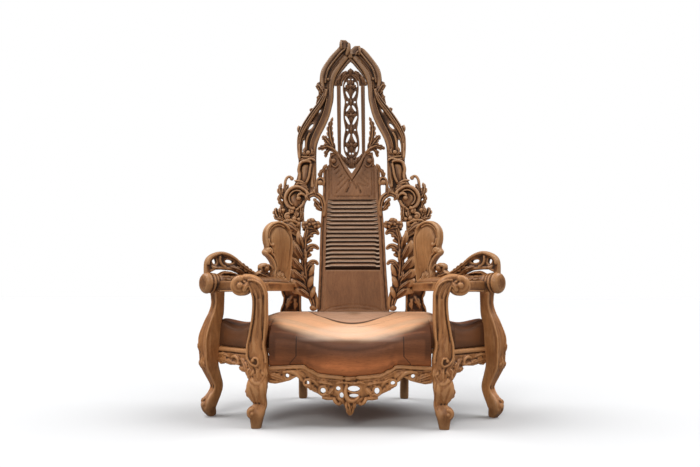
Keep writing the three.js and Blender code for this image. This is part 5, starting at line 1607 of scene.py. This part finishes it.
head_half = [
    (0, 1903), (14, 1900), (20, 1889), (46, 1888), (80, 1849), (96, 1812), (96, 1801.5), (50, 1801.5),
    (46, 1828), (30, 1850), (10, 1862)
]
lancet_head = board(head_half + [(-x, z) for x, z in head_half[:0:-1]], -6, 9)
for side in (1, -1):
    lancet_head += strand([
        (side * x, -6, z, 3.5, 6) for x, z in ((54, 1803), (51, 1832), (34, 1857), (4, 1870))
    ])
    lancet_head += strand([
        (side * x, -6, z, 4.5, 7) for x, z in ((88, 1803), (84, 1826), (66, 1856), (46, 1880))
    ])
    lancet_head += leaves(
        ([(side * 50, -6, 1852), (side * 34, -10, 1874), (side * 26, -6, 1894)], 9, 7, 2),
        ([(side * 76, -6, 1816), (side * 70, -10, 1838), (side * 58, -6, 1856)], 7, 6, 1))
    lancet_head += bead(side * 34, -4, 1884, 8)
lancet_head += leaf([(0, -6, 1864), (0, -11, 1886), (0, -6, 1908)], 12, 8, lobes=3)
piece("lancet_head_carved", fused(lancet_head, voxel=2.2, rounds=2, keep=0.5), ["lancet_head"],
      lancet_wood, place=upright)

# %% Strip of three flowers
STRIP_SIDE = [
    (10, 1866), (30, 1850), (43, 1820), (47, 1782), (43, 1740), (36, 1700), (42, 1660), (45, 1612),
    (41, 1570), (35, 1529), (43, 1490), (47, 1436), (42, 1396), (30, 1370), (14, 1354)
]
STRIP_HOLES = [
    (10, 1841, 5, 5, 0), (30, 1808, 6, 18, 0.28), (19, 1745, 6, 25, -0.42), (23, 1699, 6, 7, 0),
    (18, 1661, 6, 22, 0.5), (22, 1588, 7, 30, -0.42), (23, 1529, 6, 6, 0), (19, 1480, 7, 30, 0.36),
    (31, 1411, 6, 18, -0.3), (8, 1386, 5, 6, 0)
]
strip_holes = [oval(side * x, z, w, h, side * turn) for x, z, w, h, turn in STRIP_HOLES for side in (1, -1)]
strip_side = [tuple(p) for p in flowing(STRIP_SIDE, 70)]
strip = board([(-x, z) for x, z in strip_side] + strip_side[::-1], -2, 6, strip_holes)
for side in (1, -1):
    strip += strand([(side * (x - 4), -2, z, 4.5, 7) for x, z in strip_side[::3]], steps=110, rounded=False)
for z, top, foot in ((1794, 1838, 1722), (1617, 1680, 1572), (1437, 1508, 1394)):
    strip += leaves(
        ([(0, -2, z - 6), (0, -9, (z + top) / 2), (0, -3, top)], 11, 8, 1),
        ([(0, -2, z + 6), (0, -9, (z + foot) / 2), (0, -3, foot)], 11, 8, 1))
    for side in (1, -1):
        strip += leaves(
            ([(side * 3, -3, z - 12), (side * 17, -9, z - 4), (side * 31, -3, z + 9)], 12, 8, 2),
            ([(side * 2, -3, z + 6), (side * 9, -8, z + 20), (side * 13, -4, z + 34)], 8, 7, 1))
    strip += bead(0, -8, z, 10)
for z in (1698, 1526):
    strip += bead(0, -6, z, 8)
    strip += leaf([(0, -3, z - 26), (0, -9, z), (0, -3, z + 26)], 8, 7, lobes=1)
TIP = [(66, 1394), (54, 1376), (36, 1364), (18, 1358), (0, 1356)]
TIP_FOOT = [(64, 1366), (54, 1350), (22, 1303), (10, 1296)]
tip_half = TIP[::-1] + TIP_FOOT
strip += board([(-x, z) for x, z in tip_half[:0:-1]] + tip_half, -4, 6)
strip += leaf([(0, -4, 1358), (0, -11, 1328), (0, -4, 1298)], 17, 8, lobes=2)
for side in (1, -1):
    strip += leaves(
        ([(side * 8, -4, 1318), (side * 26, -10, 1340), (side * 38, -4, 1364)], 11, 7, 2),
        ([(side * 30, -4, 1336), (side * 46, -9, 1356), (side * 60, -4, 1384)], 8, 6, 1))
piece("medallion_strip_carved", fused(strip, voxel=2.0, rounds=2, keep=0.4), ["medallion_strip"],
      lancet_wood, place=upright)
print("strip:", totals["medallion_strip_carved"], "triangles; bar:", totals["right_lancet_bar_carved"])

# %% [markdown]
# ## Leaf sprays
# Three sharp-toothed leaves spring from each shoulder of the splat: one climbs the bar, one leans out, and
# one lies almost flat with a drooping side lobe.

# %% Leaf sprays
spray = strand([(86, -6, 1384, 9, 7), (104, -10, 1404, 13, 9), (130, -8, 1414, 11, 7)])
spray += leaves(
    ([(96, -6, 1404), (118, -11, 1474), (124, -11, 1540), (107, -7, 1606)], 21, 9, 6),
    ([(100, -8, 1410), (130, -15, 1446), (152, -13, 1474), (168, -9, 1491)], 19, 10, 4),
    ([(92, -8, 1402), (132, -16, 1424), (164, -15, 1420), (195, -9, 1412)], 20, 10, 4),
    ([(122, -8, 1414), (142, -12, 1394), (151, -8, 1361)], 15, 9, 3),
    sweep=0.8)
spray += strand([(78, -10, 1386, 6, 6), (112, -17, 1414, 7, 8), (150, -18, 1427, 4, 6)])
spray += strand([(104, -12, 1420, 4, 5), (120, -18, 1474, 4, 6), (124, -17, 1530, 3, 5)])
pair("leaf_spray", fused(spray, voxel=2.0, rounds=2, keep=0.45), shaded, place=upright)

# %% [markdown]
# ## Plumes
# Between the splat and each post climbs a plume of acanthus on a winding stem. Every leaf is carved in two
# layers, a broad smooth one below and a narrow curled one on it, which gives the deep shadow lines. Hooked
# leaves reach the splat and hold the plume there, and a bracket with three fruits closes it at the top.

# %% Plume
PLUME_Y = -38


def layered(points, width):
    """A broad smooth leaf with a narrow one curling on it."""
    depth = 16
    (x0, y0, z0), (x1, y1, z1), (x2, y2, z2) = points
    lower = [(x0, y0, z0, 0.4 * width, 0.7 * depth), (x1, y1, z1, 0.72 * width, depth),
             ((x1 + x2) / 2 + 3, y1, (z1 + z2) / 2, 0.5 * width, 0.8 * depth),
             (x2, y2, z2, 0.18 * width, 0.5 * depth)]
    upper = [(x0, y0 - 6, z0), ((x0 + x1) / 2 - 3, y1 - 10, (z0 + z1) / 2 + 6), (x1 - 4, y1 - 14, z1 + 8),
             ((x1 + x2) / 2 - 4, y2 - 12, (z1 + z2) / 2 + 8)]
    return strand(lower, BAND, 50) + leaf(upper, 0.36 * width, 0.6 * depth, 1)


STEM = [(214, 506, 11), (226, 546, 15), (243, 590, 17), (257, 640, 18), (266, 700, 18), (270, 760, 17),
        (269, 820, 16), (264, 880, 14), (250, 945, 13)]
plume = band(STEM, PLUME_Y, 15, GROOVED)
for (x0, z0), (x1, z1), (x2, z2), width in (
    ((272, 828), (292, 880), (300, 930), 25), ((270, 764), (308, 824), (330, 876), 32),
    ((268, 700), (318, 748), (352, 790), 33), ((260, 642), (316, 686), (353, 716), 33),
    ((246, 596), (304, 632), (340, 660), 31), ((230, 556), (286, 592), (332, 592), 30)
):
    plume += layered([(x0, PLUME_Y, z0), (x1, PLUME_Y - 12, z1), (x2, PLUME_Y, z2)], width)
for rows in (
    [(268, 856, 12), (254, 892, 16), (234, 918, 17), (206, 926, 14), (186, 910, 9)],
    [(274, 774, 12), (256, 812, 16), (236, 838, 17), (210, 843, 14), (187, 826, 9)],
    [(262, 694, 11), (247, 730, 14), (230, 753, 14), (208, 756, 12), (190, 740, 8)]
):
    reach = [(x, PLUME_Y + (8 if k > 2 else 0) * (k - 2), z, w, 12) for k, (x, z, w) in enumerate(rows)]
    plume += strand(reach, GROOVED, 44)
    (x, z, _), (x2, z2, _) = rows[1], rows[2]
    plume += leaves(
        ([(x + 2, PLUME_Y - 2, z - 16), (x2 + 2, PLUME_Y - 8, z2 - 16), (x2 - 18, PLUME_Y, z2 - 20)], 15, 10,
         2),
        ([(x, PLUME_Y, z - 34), (x - 15, PLUME_Y - 6, z - 20), (x - 30, PLUME_Y, z - 14)], 12, 9, 1))
TWIST = [(236, 738, 8), (224, 700, 12), (231, 655, 15), (227, 612, 14), (210, 572, 13), (199, 530, 11),
         (204, 501, 10), (224, 496, 10), (234, 512, 8)]
plume += band(TWIST, PLUME_Y, 12, ROUND, 80)
for x, z, width in ((224, 706, 13), (231, 646, 16), (219, 586, 14)):
    plume += strand([(x + 14, PLUME_Y - 4, z - 36, 0.5 * width, 8), (x, PLUME_Y - 13, z, width, 13),
                     (x - 10, PLUME_Y - 4, z + 34, 0.4 * width, 8)], BAND, 40)
plume += strand([(258, PLUME_Y, 672, 9, 10), (240, PLUME_Y, 686, 10, 10), (222, PLUME_Y, 690, 9, 10)])
plume += bead(219, PLUME_Y - 6, 504, 15)
plume += leaves(
    ([(258, PLUME_Y - 4, 640), (276, PLUME_Y - 17, 674), (280, PLUME_Y - 8, 712)], 15, 10, 2),
    ([(266, PLUME_Y - 4, 736), (260, PLUME_Y - 17, 780), (264, PLUME_Y - 12, 830)], 13, 9, 2))
for x, z, radius in ((262, 962, 25), (229, 978, 27), (198, 964, 24)):
    plume += bead(x, -26, z, radius)
    for turn in (0.6, 2.2, 3.8, 5.4):
        plume += bead(x + 0.55 * radius * math.cos(turn), -42, z + 0.55 * radius * math.sin(turn),
                      radius * 0.46)
plume += leaf([(280, -26, 936), (238, -44, 944), (190, -26, 934)], 14, 12, 4)
plume_surface = fused(moved(plume, on_back), voxel=2.4, keep=0.45)
pair("plume", plume_surface, shaded, place=leaned)
print("plume:", totals["right_plume_carved"], "triangles")

# %% [markdown]
# ## Bridge leaves
# Higher up a C-shaped leaf and a small scroll with a ball bridge the splat and the arch rail.

# %% Bridge leaf
bridge = strand([
    (250, -22, 1112, 9, 10), (240, -22, 1133, 13, 12), (212, -24, 1142, 16, 13), (180, -24, 1124, 17, 13),
    (164, -22, 1092, 15, 12), (159, -22, 1052, 12, 11), (160, -22, 1012, 8, 9)
], GROOVED, 60)
bridge += leaves(
    ([(170, -22, 1044), (196, -32, 1068), (214, -22, 1095)], 16, 11, 2),
    ([(178, -22, 1070), (202, -32, 1098), (218, -22, 1118)], 14, 11, 2),
    ([(236, -24, 1104), (254, -30, 1124), (246, -24, 1146)], 13, 10, 1),
    ([(196, -24, 1128), (210, -32, 1152), (206, -24, 1184)], 12, 10, 1))
bridge += strand([
    (196, -22, 1132, 10, 10), (200, -22, 1165, 10, 11), (199, -22, 1205, 9, 11), (190, -22, 1230, 9, 11),
    (171, -22, 1235, 9, 11), (160, -22, 1216, 9, 10), (164, -22, 1190, 8, 9)
], steps=60)
bridge += bead(180, -25, 1208, 16)
bridge += leaves(
    ([(178, -20, 1236), (178, -28, 1262), (160, -20, 1292)], 16, 11, 2),
    ([(164, -20, 1276), (154, -26, 1298), (142, -18, 1320)], 12, 10, 1))
bridge_surface = fused(moved(bridge, on_back), voxel=2.4, keep=0.45)
pair("bridge_leaf", bridge_surface, shaded, place=leaned)
print("bridge leaf:", totals["right_bridge_leaf_carved"], "triangles,", "all pieces:", sum(totals.values()))

# %% [markdown]
# ## Light, floor and camera
# The throne stands on a pale floor that fades into white, between two broad soft lights from the upper left
# and right, with a weaker low one in front. A sun lamp lights the floor evenly however far it runs, and a
# wide sun angle makes the shadow soft. The world seen by the camera is white, but it gives little light, so
# hollows stay dark.

# %% Floor
FLOOR_REACH = 40.0
FLOOR_BOUNCE, FLOOR_SEEN = (0.31, 0.295, 0.28, 1), (0.66, 0.665, 0.675, 1)
corners = np.array([(-1, -1, 0), (1, -1, 0), (1, 1, 0), (-1, 1, 0)]) * FLOOR_REACH
floor_mesh = mesh_of("floor", corners, np.array([(0, 1, 2), (0, 2, 3)]))
floor = bpy.data.objects.new("floor", floor_mesh)
bpy.context.scene.collection.objects.link(floor)
pale = bpy.data.materials.new("pale floor")
pale.use_nodes = True
ground = pale.node_tree
seen = ground.nodes.new("ShaderNodeLightPath").outputs["Is Camera Ray"]
ground.links.new(
    blended(ground, seen, FLOOR_BOUNCE, FLOOR_SEEN), ground.nodes["Principled BSDF"].inputs["Base Color"]
)
ground.nodes["Principled BSDF"].inputs["Roughness"].default_value = 0.8
floor_mesh.materials.append(pale)

# %% Lamps and sky
def sun(name, strength, spread, elevation, turn, colour=(1, 1, 1)):
    """A sun lamp from a height and a compass turn in degrees; 0 is in front of the throne."""
    lamp = bpy.data.lights.new(name, "SUN")
    lamp.energy, lamp.angle, lamp.color = strength, math.radians(spread), colour
    made = bpy.data.objects.new(name, lamp)
    made.rotation_euler = (math.radians(90 - elevation), 0, math.radians(turn))
    bpy.context.scene.collection.objects.link(made)


SKY_LIGHT, SKY_SEEN = 0.12, 1.0
sun("broad light from the upper left", 2.5, 46, 55, -96)
sun("broad light from the upper right", 2.35, 46, 55, 96)
sun("low light from in front", 1.2, 26, 31, -14, (1.0, 0.98, 0.95))
world = bpy.data.worlds.new("white room")
bpy.context.scene.world = world
world.use_nodes = True
sky = world.node_tree
sky.nodes["Background"].inputs["Color"].default_value = (1, 1, 1, 1)
seen = sky.nodes.new("ShaderNodeLightPath").outputs["Is Camera Ray"]
sky.links.new(ranged(sky, seen, 0, 1, SKY_LIGHT, SKY_SEEN), sky.nodes["Background"].inputs["Strength"])
bpy.context.scene.view_settings.view_transform = "Standard"

# %% [markdown]
# The camera stands a little under three metres in front of the legs, low, at about the height of the arms,
# and looks slightly up, so the back rises straight and the seat is seen almost edge on.

# %% Camera
SENSOR, LENS = 36, 30.86
ASIDE, BEFORE_LEGS, EYE_HEIGHT = 0.0754, 2.699, 0.60
LOOKS_UP, LOOKS_LEFT = 5.38, 1.6
camera_data = bpy.data.cameras.new("camera")
camera_data.sensor_width, camera_data.lens = SENSOR, LENS
camera = bpy.data.objects.new("camera", camera_data)
camera.location = (ASIDE, LEG_PLANE * MM - BEFORE_LEGS, EYE_HEIGHT)
camera.rotation_euler = (math.radians(90 + LOOKS_UP), 0, math.radians(LOOKS_LEFT))
bpy.context.scene.collection.objects.link(camera)
bpy.context.scene.camera = camera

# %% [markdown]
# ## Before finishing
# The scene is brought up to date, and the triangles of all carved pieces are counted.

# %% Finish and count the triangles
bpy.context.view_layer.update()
print("triangles in all:", sum(totals.values()), "largest:", max(totals, key=totals.get),
      max(totals.values()))
